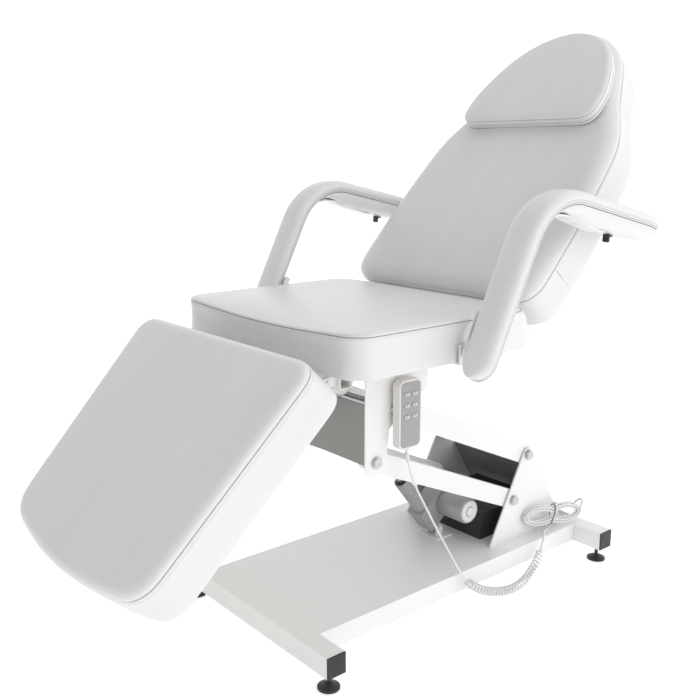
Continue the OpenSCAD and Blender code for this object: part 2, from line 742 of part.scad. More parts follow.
module legrest_cushion() color("whitesmoke") at_leg()
    loft([ring(leg_outline, leg_mid, wall_dip, -leg_foam), ring(leg_outline, leg_mid, 0, -leg_foam + wall_dip),
        ring(leg_outline, leg_mid, wall_dip, -(leg_foam + leg_roll_r) / 2),
        ring(leg_outline, leg_mid, 0, -leg_roll_r - gap),
        ring(leg_outline, leg_mid, leg_roll_r * (1 - cos(45)), -leg_roll_r * (1 - sin(45))),
        ring(leg_outline, leg_mid, leg_roll_r, 0),
        ring_share(leg_outline, leg_mid, 0.5, crown_h)],
        [leg_mid[0], leg_mid[1], -leg_foam], [leg_mid[0], leg_mid[1], crown_h]);
module legrest_board() color("burlywood") at_leg() translate([0, 0, -leg_t])
    linear_extrude(board_t) polygon([for (p = leg_outline) drawn(p, leg_mid, wall_dip + board_inset)]);

leg_rail_x = 180;
leg_rail_w = 20;
leg_rail_end = 430;
leg_rail_start = 6;
leg_hinge_l = turned(leg_pivot - leg_origin, -leg_angle);
leg_lever = leg_pivot + turned([-leg_lever_s, -leg_lever_d], leg_angle);
leg_lever_local = turned(leg_lever - leg_origin, -leg_angle);
module legrest_frame() color("white") at_leg() {
    z0 = -leg_t - leg_rail_w;
    both_sides() translate([leg_rail_x, -leg_rail_end, z0])
        cube([leg_rail_w, leg_rail_end - leg_rail_start, leg_rail_w]);
    for (s = [leg_rail_start + leg_rail_w, leg_lever_s - leg_rail_w / 2 - leg_hinge_l[0], leg_rail_end])
        translate([-leg_rail_x, -s, z0]) cube([2 * leg_rail_x, leg_rail_w, leg_rail_w]);
    both_sides() translate([leg_rail_x + leg_rail_w, -leg_rail_start - leg_rail_w, z0])
        cube([cross_l / 2 - leg_rail_x - leg_rail_w, leg_rail_w, leg_rail_w]);
    both_sides() lug(lug_x + lug_t + gap) difference() {
        union() {
            translate(leg_hinge_l) circle(r = knuckle_r, $fn = round_n);
            translate([-leg_rail_start - leg_rail_w, leg_hinge_l[1] - knuckle_r])
                square([leg_hinge_l[0] + leg_rail_start + leg_rail_w, 2 * knuckle_r]);
        }
        translate(leg_hinge_l) circle(d = hinge_pin_d + fit, $fn = round_n);
    }
    both_sides() lug(lug_in) difference() {
        union() {
            translate(leg_lever_local) circle(r = eye_r, $fn = round_n);
            translate([leg_lever_local[0] - eye_r, leg_lever_local[1]])
                square([2 * eye_r, z0 + leg_rail_w - leg_lever_local[1]]);
        }
        translate(leg_lever_local) circle(d = pin_d + fit, $fn = round_n);
    }
}
module legrest_pin() color("silver") on_tower() ear_pin(leg_lever);

// Armrests: a padded L that follows an upright, a bend and a forearm rest

arm_bend_a = arm_lean - arm_slope;
arm_bend_l = arm_bend_r * arm_bend_a * PI / 180;
arm_up = [cos(arm_lean), sin(arm_lean)];
arm_bend_c = arm_foot + arm_upright_l * arm_up - arm_bend_r * flip(arm_up);
arm_fore_start = arm_bend_c + arm_bend_r * flip([cos(arm_slope), sin(arm_slope)]);
arm_total = arm_upright_l + arm_bend_l + arm_fore_l;
arm_fore_straight = arm_fore_l - arm_droop_l;
// Direction and place of the pad's outer face at a distance along it
function arm_angle_at(u) = u < arm_upright_l ? arm_lean
    : u < arm_upright_l + arm_bend_l ? arm_lean - arm_bend_a * (u - arm_upright_l) / arm_bend_l
    : u < arm_total - arm_droop_l ? arm_slope
    : arm_slope + (arm_droop - arm_slope) * (u - arm_total + arm_droop_l) / arm_droop_l;
function arm_place(u) = u < arm_upright_l ? arm_foot + u * arm_up
    : u < arm_upright_l + arm_bend_l ? arm_bend_c + arm_bend_r * flip([cos(arm_angle_at(u)), sin(arm_angle_at(u))])
    : u < arm_total - arm_droop_l ? arm_fore_start + (u - arm_upright_l - arm_bend_l) * [cos(arm_slope), sin(arm_slope)]
    : let (a = (arm_slope + arm_angle_at(u)) / 2) arm_fore_start + arm_fore_straight * [cos(arm_slope), sin(arm_slope)]
        + (u - arm_total + arm_droop_l) * [cos(a), sin(a)];
arm_swell_start = 0.38;
arm_swell_l = 0.75;
function arm_thick(u) = arm_upright_t + (arm_top_t - arm_upright_t)
    * min(1, max(0, (u - arm_upright_l - arm_swell_start * arm_bend_l) / (arm_swell_l * arm_bend_l)))
    - (arm_top_t - arm_tip_t) * pow(max(0, (u - arm_total + arm_thin_l) / arm_thin_l), 2);
// Ends are rounded in plan
function arm_half(u) = let (e = min(u, arm_total - u), r = arm_pad_w / 2)
    e > r ? r : sqrt(max(0, r * r - (r - e) * (r - e)));
// Half section: share of the half width, share of the roll, share of the rest of the thickness
arm_section_share = [[0, 0, 0], [0.5, 0.06, 0], [0.82, 0.32, 0], [1, 1, 0], [1, 1, 0.7], [0.8, 1, 1], [0.35, 1, 1]];
function arm_ring(u) = let (p = arm_place(u), a = arm_angle_at(u), inward = -flip([cos(a), sin(a)]),
    s = arm_section_share, h = arm_half(u), t = arm_thick(u) - arm_roll,
    pts = concat([for (i = [0:6]) [s[i][0] * h, s[i][1] * arm_roll + s[i][2] * t]],
        [for (i = [6:-1:1]) [-s[i][0] * h, s[i][1] * arm_roll + s[i][2] * t]]))
    [for (q = pts) [arm_pad_x + q[0], p[0] + inward[0] * q[1], p[1] + inward[1] * q[1]]];
arm_end_share = [0.02, 0.14, 0.42, 0.9];
arm_stations = concat([for (s = arm_end_share) s * arm_pad_w / 2], [arm_upright_l * 0.45, arm_upright_l * 0.75],
    [for (i = [0:5]) arm_upright_l + arm_bend_l * i / 5],
    [arm_total - arm_droop_l - arm_fore_straight / 2, arm_total - arm_droop_l, arm_total - arm_droop_l * 0.7],
    [for (i = [3:-1:0]) arm_total - arm_end_share[i] * arm_pad_w / 2]);
module armrest_pad() {
    rings = [for (u = arm_stations) arm_ring(u)];
    n = len(rings);
    function mid(r) = (r[0] + r[6]) / 2 - [r[6][0] - r[0][0], 0, 0] / 2;
    loft(rings, mid(rings[0]), mid(rings[n - 1]));
}
module armrest_pad_right() color("whitesmoke") on_tower() armrest_pad();
module armrest_pad_left() color("whitesmoke") on_tower() mirror([1, 0, 0]) armrest_pad();

// Steel core behind the pad, ending in the pivot lug
function arm_inner(u, extra) = let (a = arm_angle_at(u)) arm_place(u) - (arm_thick(u) + extra) * flip([cos(a), sin(a)]);
core_from = 30;
core_to = arm_upright_l + arm_bend_l + arm_fore_straight * 0.45;
core_stations = concat([core_from], [for (i = [0:5]) arm_upright_l + arm_bend_l * i / 5], [core_to]);
core_outline = concat([for (u = core_stations) arm_inner(u, gap)],
    [for (i = [len(core_stations) - 1:-1:0]) arm_inner(core_stations[i], gap + core_t)]);
core_foot_from = 80;
core_foot_l = 70;
core_plate_from = 52;
core_plate_back = -10;
lug_r = 14;
module armrest_core() {
    across(arm_pad_x - core_w / 2, core_w) polygon(core_outline);
    across(core_x, arm_pad_x - core_w / 2 - core_x) polygon([arm_inner(core_foot_from, gap),
        arm_inner(core_foot_from + core_foot_l, gap), arm_inner(core_foot_from + core_foot_l, gap + core_t),
        arm_inner(core_foot_from, gap + core_t)]);
    across(core_x, core_t) difference() {
        union() {
            translate(arm_hinge) circle(r = lug_r, $fn = round_n);
            polygon([arm_inner(core_plate_from, core_plate_back),
                arm_inner(core_foot_from + core_foot_l, core_plate_back),
                arm_inner(core_foot_from + core_foot_l, gap + core_t), arm_inner(core_plate_from, gap + core_t)]);
        }
        translate(arm_hinge) circle(d = arm_bolt_d + fit, $fn = round_n);
    }
}
module armrest_core_right() color("white") on_tower() armrest_core();
module armrest_core_left() color("white") on_tower() mirror([1, 0, 0]) armrest_core();

// Flat bar under the seat board whose turned-up ends carry the armrests
module armrest_crossbar() color("white") on_tower() difference() {
    union() {
        translate([-arm_plate_x, arm_hinge[0] - arm_plate_w / 2, tower_top_z])
            cube([2 * arm_plate_x, arm_plate_w, strap_t]);
        both_sides() across(arm_plate_x, strap_t)
            translate([arm_hinge[0] - arm_plate_w / 2, tower_top_z]) square([arm_plate_w, arm_plate_h]);
    }
    at_yz(arm_hinge) rod_x(-2 * arm_plate_x, 4 * arm_plate_x, arm_bolt_d + fit);
}
arm_washer_t = core_x - arm_plate_x - strap_t;
arm_head_h = 3.2;
module armrest_bolts() color("silver") on_tower() both_sides() at_yz(arm_hinge) {
    rod_x(arm_plate_x - arm_head_h, core_x - arm_plate_x + core_t + 2 * arm_head_h, arm_bolt_d);
    rod_x(arm_plate_x - arm_head_h, arm_head_h - gap / 2, arm_bolt_head, 6);
    rod_x(core_x - arm_washer_t + gap, arm_washer_t - 2 * gap, arm_bolt_head);
    rod_x(core_x + core_t + gap / 2, arm_head_h - gap / 2, arm_bolt_head);
}

// Linear actuators along local +Y, from the anchor eye to the rod eye

function toward(a, b) = atan2(b[1] - a[1], b[0] - a[0]);
module along(a, b) at_yz(a) rotate([toward(a, b), 0, 0]) children();
module eye(w) rotate([0, 90, 0]) difference() {
    cylinder(h = w, r = eye_r, center = true, $fn = round_n);
    cylinder(h = w + 2 * cut, d = pin_d + fit, center = true, $fn = round_n);
}
module rod_y(y, l, d) translate([0, y, 0]) rotate([-90, 0, 0]) cylinder(h = l, d = d, $fn = round_n);
// side is 1 or -1: the side of the spindle, along local Z, that the motor lies on
module housing(tube_l, off, side) difference() {
    union() {
        eye(eye_w);
        translate([-eye_w / 2, eye_r - gap, -eye_r]) cube([eye_w, gear_start - eye_r + 2 * gap, 2 * eye_r]);
        translate([-gear_w / 2, gear_start, side > 0 ? -gear_h / 2 : -off - gear_h / 2])
            cube([gear_w, gear_l, off + gear_h]);
        rod_y(gear_start + gear_l, tube_l - gear_start - gear_l, tube_d);
    }
    rod_y(bore_start, tube_l, tube_d - 2 * tube_wall);
}
module motor(off, side) translate([gear_w / 2, motor_u, side * off]) rotate([0, 90, 0]) {
    cylinder(h = motor_l - end_cap_h, d = motor_d, $fn = round_n);
    translate([0, 0, motor_l - end_cap_h]) cylinder(h = end_cap_h, d1 = motor_d, d2 = motor_d - end_cap_h, $fn = round_n);
}
module push_rod(l, rod_l) {
    rod_y(l - rod_l, rod_l - eye_r + gap, rod_d);
    translate([0, l, 0]) eye(eye_w - 2);
}
function span(a, b) = norm(b - a);

module lift_clevis() color("white") from_front() {
    translate([-clevis_w / 2, lift_anchor[0] - clevis_l / 2, bar_top]) cube([clevis_w, clevis_l, strap_t]);
    both_sides() lug(lug_in) difference() {
        union() {
            translate(lift_anchor) circle(r = eye_r, $fn = round_n);
            translate([lift_anchor[0] - eye_r, bar_top]) square([2 * eye_r, lift_anchor[1] - bar_top]);
        }
        translate(lift_anchor) circle(d = pin_d + fit, $fn = round_n);
    }
    ear_pin(lift_anchor);
}
module lift_housing() color("gainsboro") from_front() along(lift_anchor, lift_lever)
    housing(lift_tube_l, motor_off, -1);
module lift_motor() color("lightgray") from_front() along(lift_anchor, lift_lever) motor(motor_off, -1);
module lift_rod() color("silver") from_front() along(lift_anchor, lift_lever)
    push_rod(span(lift_anchor, lift_lever), lift_rod_l);
module back_housing() color("gainsboro") on_tower() along(back_anchor, back_lever)
    housing(back_tube_l, motor_side_off, 1);
module back_motor() color("lightgray") on_tower() along(back_anchor, back_lever)
    motor(motor_side_off, 1);
module back_rod() color("silver") on_tower() along(back_anchor, back_lever)
    push_rod(span(back_anchor, back_lever), back_rod_l);
module leg_housing() color("gainsboro") on_tower() along(leg_anchor, leg_lever)
    housing(leg_tube_l, motor_side_off, -1);
module leg_motor() color("lightgray") on_tower() along(leg_anchor, leg_lever) motor(motor_side_off, -1);
module leg_rod() color("silver") on_tower() along(leg_anchor, leg_lever)
    push_rod(span(leg_anchor, leg_lever), leg_rod_l);

// Control box behind the arms, with two cord glands on its rear face
module control_box() color("dimgray") from_front() {
    translate([-box_w / 2, box_y, bar_top]) cube([box_w, box_l, box_h]);
    for (x = [mains_x, tail_x]) translate([x, box_y + box_l, gland_z])
        rotate([-90, 0, 0]) cylinder(h = gland_l, d1 = gland_d, d2 = gland_d * 0.7, $fn = round_n);
}

// Handset on the tower's right side: shell, face panel and six buttons

module stadium(w, h) {
    square([w - h, h], center = true);
    for (s = [-1, 1]) translate([s * (w - h) / 2, 0]) circle(d = h, $fn = small_n);
}
module round_box(w, l, r) {
    translate([-w / 2 + r, -l / 2]) square([w - 2 * r, l]);
    translate([-w / 2, -l / 2 + r]) square([w, l - 2 * r]);
    for (i = [-1, 1]) for (j = [-1, 1]) translate([i * (w / 2 - r), j * (l / 2 - r)]) circle(r = r, $fn = round_n);
}
handset_mid = [handset_y + handset_w / 2, handset_z + handset_l / 2];
handset_out = handset_x + handset_t;
button_rows = [for (i = [0:2]) handset_z + handset_l - button_first - i * button_row];
button_cols = [for (s = [-1, 1]) handset_mid[0] + s * (button_w / 2 + panel_rim)];
hook_top = handset_z + handset_l - peg_drop;
relief_l = 14;
module handset_shell() color("white") on_tower() {
    difference() {
        across(handset_x, handset_t - panel_t) translate(handset_mid) round_box(handset_w, handset_l, handset_r);
        for (z = button_rows) for (y = button_cols)
            across(handset_out - panel_t - button_back - button_travel - gap, handset_t)
                translate([y, z]) stadium(button_w + 2 * panel_t, button_h + 2 * panel_t);
        across(handset_x - cut, handset_t / 3 + cut) translate([handset_mid[0], hook_top - lift_off / 2])
            rotate(90) stadium(lift_off + peg_d + 2 * cut, peg_d + 2 * cut);
    }
    translate([handset_x + handset_t / 2, handset_mid[0], handset_z - relief_l])
        cylinder(h = relief_l, d1 = lead_d + 2, d2 = lead_d + 5, $fn = small_n);
}
module handset_panel() color("gray") on_tower() difference() {
    across(handset_out - panel_t, panel_t) translate(handset_mid)
        round_box(handset_w - 2 * panel_rim, handset_l - 2 * panel_rim, handset_r - panel_rim);
    for (z = button_rows) for (y = button_cols)
        across(handset_out - handset_t / 2, handset_t) translate([y, z]) stadium(button_w + 2 * gap, button_h + 2 * gap);
}
module button(row, col) color("whitesmoke") on_tower()
    across(handset_out - panel_t - button_back, panel_t + button_back + button_rise)
        translate([button_cols[col], button_rows[row]]) stadium(button_w, button_h);
module button_back_up() button(0, 1);
module button_back_down() button(0, 0);
module button_leg_up() button(1, 1);
module button_leg_down() button(1, 0);
module button_lift_up() button(2, 1);
module button_lift_down() button(2, 0);
module handset_hook() color("silver") on_tower() {
    across(bracket_w / 2, hook_t) translate([handset_mid[0], hook_top]) round_box(hook_plate_h / 2, hook_plate_h, peg_d / 2);
    at_yz([handset_mid[0], hook_top]) rod_x(bracket_w / 2, handset_x - bracket_w / 2 + handset_t / 3 - cut, peg_d);
}

// Cords: tubes swept along hand-placed routes, rounded by a spline

function spline(p, n) = let (m = len(p) - 1) concat([for (i = [0:m - 1]) let (
    a = p[max(i - 1, 0)], b = p[i], c = p[i + 1], d = p[min(i + 2, m)]) for (k = [0:n - 1]) let (t = k / n)
    0.5 * ((2 * b) + (c - a) * t + (2 * a - 5 * b + 4 * c - d) * t * t + (3 * b - a - 3 * c + d) * t * t * t)], [p[m]]);
function heading(p, i) = unit(p[min(i + 1, len(p) - 1)] - p[max(i - 1, 0)]);
// Rings square to the path, their first point turned towards the reference direction of each place
function swept(p, refs, r, sides) = [for (i = [0:len(p) - 1]) let (t = heading(p, i),
    e = unit(refs[i] - t * (refs[i] * t)), f = cross(t, e))
    [for (k = [0:sides - 1]) let (a = 360 * k / sides) p[i] + r * (cos(a) * e + sin(a) * f)]];
module cord(p, refs, d, sides) {
    rings = swept(p, refs, d / 2, sides);
    loft(rings, p[0], p[len(p) - 1]);
}
module plain_cord(p, ref, d, sides) cord(p, [for (q = p) ref], d, sides);
function run_of(p, i = 0, sum = 0) = i >= len(p) - 1 ? sum : run_of(p, i + 1, sum + norm(p[i + 1] - p[i]));
function least_gap(p, apart, d) = min([for (i = [0:len(p) - 1]) each [for (j = [i + apart:1:len(p) - 1]) norm(p[i] - p[j])]]) - d;

// Route of the handset lead, from the handset to the curly cord
lead_route = [[185, 335, 439.7], [185, 335, 434], [187, 338, 418], [190, 344, 391], [195, 358, 351],
    [201, 380, 305], [208, 407, 251], [217, 443, 182], [226, 482, 111], [229, 493, 95], [230, 495, 91]];
// Middle line of the curly cord, hanging beside the base pan
curly_route = [[230, 495, 91], [231, 499, 84], [236, 509, 70], [244, 529, 54], [251, 558, 38], [256, 596, 25],
    [257, 637, 16], [256, 677, 14], [252, 714, 20], [247, 746, 33], [242, 771, 46], [236, 793, 65],
    [232, 804, 79], [231, 808, 86]];
// Route of the handset cord's tail, from the curly cord to the control box
tail_route = [[231, 808, 86], [231, 812, 95], [227, 820, 105], [218, 831, 109], [207, 845, 105], [198, 862, 97],
    [188, 890, 94], [176, 924, 94], [170, 960, 94], [167, 984, 94], [159, 999, 95], [144, 1002, 97],
    [126, 993, 102], [111, 976, 109], [102, 961, 113], [100, 950, 114]];
module handset_lead() color("white") from_front() plain_cord(spline(lead_route, 2), [1, 0, 0], lead_d, 8);
module handset_tail() color("white") from_front() plain_cord(spline(tail_route, 2), [0.2, 0.3, 1], lead_d, 8);

curl_wire = 5;
curl_r = (curly_d - curl_wire) / 2;
curl_rings = 8;
curly_line = spline(curly_route, 8);
// Lengths along a polyline, and the point at a share of its whole length
function lengths(p) = [for (i = 0, s = 0; i < len(p); s = s + (i + 1 < len(p) ? norm(p[i + 1] - p[i]) : 0), i = i + 1) s];
function at_length(p, c, x, i = 0) = i >= len(p) - 2 || c[i + 1] >= x
    ? p[i] + (p[i + 1] - p[i]) * (x - c[i]) / (c[i + 1] - c[i]) : at_length(p, c, x, i + 1);
curly_lengths = lengths(curly_line);
curly_l = curly_lengths[len(curly_line) - 1];
function at_share(s) = at_length(curly_line, curly_lengths, s * curly_l);
curl_start = 0.04;
curly_count = curls * curl_rings;
// Radius of the winding grows from nothing at each end
function curl_swell(s) = curl_r * min(1, max(0, (s - curl_start) * curls * 0.9), max(0, (1 - curl_start - s) * curls * 0.9));
function curl_frame(s) = let (t = unit(at_share(min(1, s + 0.02)) - at_share(max(0, s - 0.02)))) cross(t, [1, 0, 0]);
function curl_radial(s, a) = cos(a) * [1, 0, 0] + sin(a) * curl_frame(s);
curl_shares = [for (i = [0:curly_count]) i / curly_count];
curl_path = [for (i = [0:curly_count]) let (s = curl_shares[i]) at_share(s)
    + curl_swell(s) * curl_radial(s, 360 * i / curl_rings)];
curl_refs = [for (i = [0:curly_count]) curl_radial(curl_shares[i], 360 * i / curl_rings)];
module curly_cord() color("white") from_front() cord(curl_path, curl_refs, curl_wire, 6);
echo(str("curly cord: least gap to itself ", least_gap(curl_path, curl_rings - 1, curl_wire), " mm, wire length ", run_of(curl_path)));

// Tied hank of mains lead: loops wound inwards in one layer and outwards in the next
hank_mid = [189, 902, 134];
hank_yaw = 9;
hank_tilt = -6;
hank_half_l = 108;
hank_half_h = 37;
hank_step = 8;
hank_dip = 15;
hank_layer = 7;
hank_rings = 24;
hank_n = hank_loops * hank_rings;
function hank_depth(i) = let (s = i / hank_rings) hank_step * (s < hank_loops / 2 ? s : hank_loops - s);
function hank_side(i) = let (s = i / hank_rings - hank_loops / 2) hank_layer * (min(0.25, max(-0.25, s)) * 2);
function hank_flat(i) = let (a = 360 * i / hank_rings, d = hank_depth(i), w = abs(cos(a)))
    [hank_side(i), (hank_half_l - d) * cos(a), (hank_half_h - d - hank_dip * pow(1 - w, 2)) * sin(a)];
function placed(v) = let (a = turned([v[1], v[2]], hank_tilt), b = turned([v[0], a[0]], -hank_yaw)) [b[0], b[1], a[1]] + hank_mid;
hank_tip = [for (i = [0:1]) placed(hank_flat(i * hank_n))];
hank_lift = placed([0, 0, mains_d]) - placed([0, 0, 0]);
hank_path = concat([placed(hank_flat(0)) - hank_lift], [for (i = [0:hank_n]) placed(hank_flat(i))],
    [placed(hank_flat(hank_n)) + hank_lift]);
hank_ref = placed([1, 0, 0]) - placed([0, 0, 0]);
module mains_hank() color("white") from_front() plain_cord(hank_path, hank_ref, mains_d, 6);
echo(str("mains hank: least gap to itself ", least_gap(hank_path, hank_rings - 4, mains_d), " mm, length ", run_of(hank_path)));
echo(str("hank starts at ", hank_path[0], " and ends at ", hank_path[len(hank_path) - 1]));

// Mains lead in two runs: from its gland to the hank, and from the hank to the plug
mains_in = [[60, 950, 114], [60, 958, 114], [61, 975, 112], [64, 995, 108], [76, 1009, 102], [98, 1015, 97],
    [130, 1016, 95], [158, 1013, 95], [178, 1010, 96]];
mains_out = [[206, 1018, 141], [192, 1022, 136], [165, 1021, 122], [135, 1017, 114], [105, 1008, 117],
    [72, 1001, 120], [45, 1000, 116], [22, 1000, 109], [4, 1000, 107]];
module mains_lead() color("white") from_front() {
    a = hank_path[0];
    plain_cord(spline(concat(mains_in, [[a[0] - 6, a[1] - 1, a[2] - 13], a]), 2), [0.2, 0.3, 1], mains_d, 8);
    b = hank_path[len(hank_path) - 1];
    up = unit(hank_lift);
    plain_cord(spline(concat([b, b + mains_d * up, b + 1.6 * mains_d * up + [0, 3, 0]], mains_out, [plug_at]), 2),
        [0.2, 0.3, 1], mains_d, 8);
}

// Plug lying on the rear bar
plug_at = [-8, 1000, 107];
module mains_plug() color("white") from_front() translate(plug_at) rotate([0, -90, 0]) {
    cylinder(h = plug_neck_l, d1 = mains_d + 3, d2 = plug_d * 0.7, $fn = small_n);
    translate([0, 0, plug_neck_l]) cylinder(h = plug_l, d = plug_d, $fn = round_n);
    for (s = [-1, 1]) translate([0, s * plug_pin_gap / 2, plug_neck_l + plug_l])
        cylinder(h = plug_pin_l, d = plug_pin_d, $fn = small_n);
}

front_crossbar();
rear_crossbar();
base_pan();
bar_caps();
foot_front_left();
foot_front_right();
foot_rear_left();
foot_rear_right();
rear_bracket();
bracket_shafts();
lift_clevis();
control_box();
lower_arm();
upper_arm();
lower_arm_pins();
tower();
tower_shaft();
seat_frame();
seat_pins();
seat_board();
seat_cushion();
armrest_crossbar();
armrest_bolts();
handset_hook();
lift_motor();
lift_housing();
lift_rod();
back_motor();
back_housing();
back_rod();
leg_motor();
leg_housing();
leg_rod();
backrest_frame();
backrest_board();
backrest_cushion();
head_pillow();
backrest_pin();
legrest_frame();
legrest_board();
legrest_cushion();
legrest_pin();
armrest_pad_left();
armrest_pad_right();
armrest_core_left();
armrest_core_right();
handset_shell();
handset_panel();
button_back_up();
button_back_down();
button_leg_up();
button_leg_down();
button_lift_up();
button_lift_down();
handset_lead();
curly_cord();
handset_tail();
mains_lead();
mains_hank();
mains_plug();
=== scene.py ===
"""Looks of the powered podiatry chair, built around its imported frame. Lengths of the routes and forms
are millimetres measured from the front of the base, as in part.scad, and row() turns them into metres
of the row's frame."""
import math

import bpy
import numpy as np
from mathutils import Matrix, Vector, noise
from mathutils.geometry import delaunay_2d_cdt


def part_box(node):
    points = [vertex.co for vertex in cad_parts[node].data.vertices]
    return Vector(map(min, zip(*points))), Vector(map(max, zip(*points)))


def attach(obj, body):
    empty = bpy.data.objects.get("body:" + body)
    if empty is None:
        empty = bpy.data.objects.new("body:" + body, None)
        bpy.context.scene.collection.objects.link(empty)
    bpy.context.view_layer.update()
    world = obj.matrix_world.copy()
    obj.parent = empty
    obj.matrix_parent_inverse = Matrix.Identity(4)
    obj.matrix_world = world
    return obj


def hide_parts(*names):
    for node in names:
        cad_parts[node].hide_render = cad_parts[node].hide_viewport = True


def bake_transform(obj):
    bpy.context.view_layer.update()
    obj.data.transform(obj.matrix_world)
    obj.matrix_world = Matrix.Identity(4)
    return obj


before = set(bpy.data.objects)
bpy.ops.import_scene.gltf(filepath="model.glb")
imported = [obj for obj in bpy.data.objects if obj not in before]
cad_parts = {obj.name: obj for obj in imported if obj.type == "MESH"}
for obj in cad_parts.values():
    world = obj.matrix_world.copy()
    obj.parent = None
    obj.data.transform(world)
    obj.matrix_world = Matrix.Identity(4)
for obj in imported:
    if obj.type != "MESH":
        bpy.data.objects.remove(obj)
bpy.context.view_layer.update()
scene = bpy.context.scene
ORIGIN_Y = 426.0


def row(p):
    """Millimetres from the front of the base to metres in the row frame."""
    p = np.asarray(p, float)
    return (p - np.array([0.0, ORIGIN_Y, 0.0])) / 1000.0


def unit(v):
    v = np.asarray(v, float)
    return v / np.linalg.norm(v)


def turned(v, deg):
    a = math.radians(deg)
    return np.array([v[0] * math.cos(a) - v[1] * math.sin(a), v[0] * math.sin(a) + v[1] * math.cos(a)])


# Camera, where the photograph was taken from

CAM_AZ, CAM_EL = 49.95, 12.51
CAM_AT = [1616.6, -1042.5, 1127.4]
FOCAL_PX, PHOTO_PX, SENSOR = 887.0, 700.0, 36.0


def make_camera():
    az, el = math.radians(CAM_AZ), math.radians(CAM_EL)
    back = Vector((math.sin(az) * math.cos(el), -math.cos(az) * math.cos(el), math.sin(el)))
    right = Vector((math.cos(az), math.sin(az), 0.0))
    up = back.cross(right)
    data = bpy.data.cameras.new("camera")
    data.sensor_width = SENSOR
    data.lens = FOCAL_PX / PHOTO_PX * SENSOR
    data.clip_start, data.clip_end = 0.05, 60.0
    cam = bpy.data.objects.new("camera", data)
    scene.collection.objects.link(cam)
    m = Matrix((right, up, back)).transposed().to_4x4()
    m.translation = Vector(row(CAM_AT))
    cam.matrix_world = m
    scene.camera = cam


make_camera()

# Mesh helpers


def mesh_object(name, verts, faces, mat, smooth=True):
    me = bpy.data.meshes.new(name)
    me.from_pydata([tuple(v) for v in verts], [], [tuple(f) for f in faces])
    me.update()
    me.materials.append(mat)
    if smooth:
        me.polygons.foreach_set("use_smooth", [True] * len(me.polygons))
    ob = bpy.data.objects.new(name, me)
    scene.collection.objects.link(ob)
    return ob


def grid_faces(m, n, start=0):
    """The quads between m rings of n points."""
    out = []
    for i in range(m - 1):
        for j in range(n):
            a, b = start + i * n + j, start + i * n + (j + 1) % n
            out.append((a, b, b + n, a + n))
    return out


def catmull(p, n, closed=False):
    """A smooth line through points, n steps from each to the next."""
    p = np.asarray(p, float)
    k = len(p)
    out = []
    for i in range(k if closed else k - 1):
        if closed:
            a, b, c, d = p[(i - 1) % k], p[i], p[(i + 1) % k], p[(i + 2) % k]
        else:
            a, b, c, d = p[max(i - 1, 0)], p[i], p[i + 1], p[min(i + 2, k - 1)]
        for q in range(n):
            t = q / n
            out.append(0.5 * (2 * b + (c - a) * t + (2 * a - 5 * b + 4 * c - d) * t * t
                              + (3 * b - a - 3 * c + d) * t ** 3))
    if not closed:
        out.append(p[-1])
    return np.array(out)


def along_line(p):
    """How far each point lies from the first, along the line."""
    return np.concatenate([[0], np.cumsum(np.linalg.norm(np.diff(p, axis=0), axis=1))])


def even(p, n, closed=False):
    """Points at even distances along a line."""
    p = np.asarray(p, float)
    q = np.vstack([p, p[:1]]) if closed else p
    s = along_line(q)
    t = np.linspace(0, s[-1], n + 1)[:-1] if closed else np.linspace(0, s[-1], n)
    return np.stack([np.interp(t, s, q[:, k]) for k in range(q.shape[1])], axis=1)


def arc(cx, cy, r, degrees):
    return [[cx + r * math.cos(math.radians(t)), cy + r * math.sin(math.radians(t))] for t in degrees]


def sweep(name, path, radius, mat, sides=12, closed=False):
    """A tube along a line of row-frame points, its rings carried along without twist."""
    p = np.asarray(path, float)
    n = len(p)
    tang = np.array([unit(p[(i + 1) % n] - p[i - 1]) if closed
                     else unit(p[min(i + 1, n - 1)] - p[max(i - 1, 0)]) for i in range(n)])
    ref = np.array([0.0, 0.0, 1.0]) if abs(tang[0][2]) < 0.9 else np.array([1.0, 0.0, 0.0])
    e = unit(ref - tang[0] * np.dot(ref, tang[0]))
    verts = []
    for i in range(n):
        e = unit(e - tang[i] * np.dot(e, tang[i]))
        f = np.cross(tang[i], e)
        for k in range(sides):
            a = 2 * math.pi * k / sides
            verts.append(p[i] + radius * (math.cos(a) * e + math.sin(a) * f))
    faces = grid_faces(n, sides)
    if closed:
        # the last ring joins the first at the nearest turn of its points
        last, firsts = np.array(verts[-sides:]), np.array(verts[:sides])
        shift = int(np.argmin([np.abs(np.roll(firsts, -s, axis=0) - last).sum() for s in range(sides)]))
        base = (n - 1) * sides
        faces += [(base + k, base + (k + 1) % sides, (k + 1 + shift) % sides, (k + shift) % sides)
                  for k in range(sides)]
    else:
        faces += [tuple(range(sides - 1, -1, -1)), tuple((n - 1) * sides + k for k in range(sides))]
    return mesh_object(name, verts, faces, mat)


# Materials, all made of nodes


ROUGH_VARY, FINE_SCALE, FINE_BUMP, WAVE_BUMP = 0.06, 38.0, 0.0004, 0.002


def new_node(nt, kind, **values):
    """A node of a kind, with the values of its named inputs."""
    node = nt.nodes.new("ShaderNode" + kind)
    for name, value in values.items():
        node.inputs[name.replace("_", " ")].default_value = value
    return node


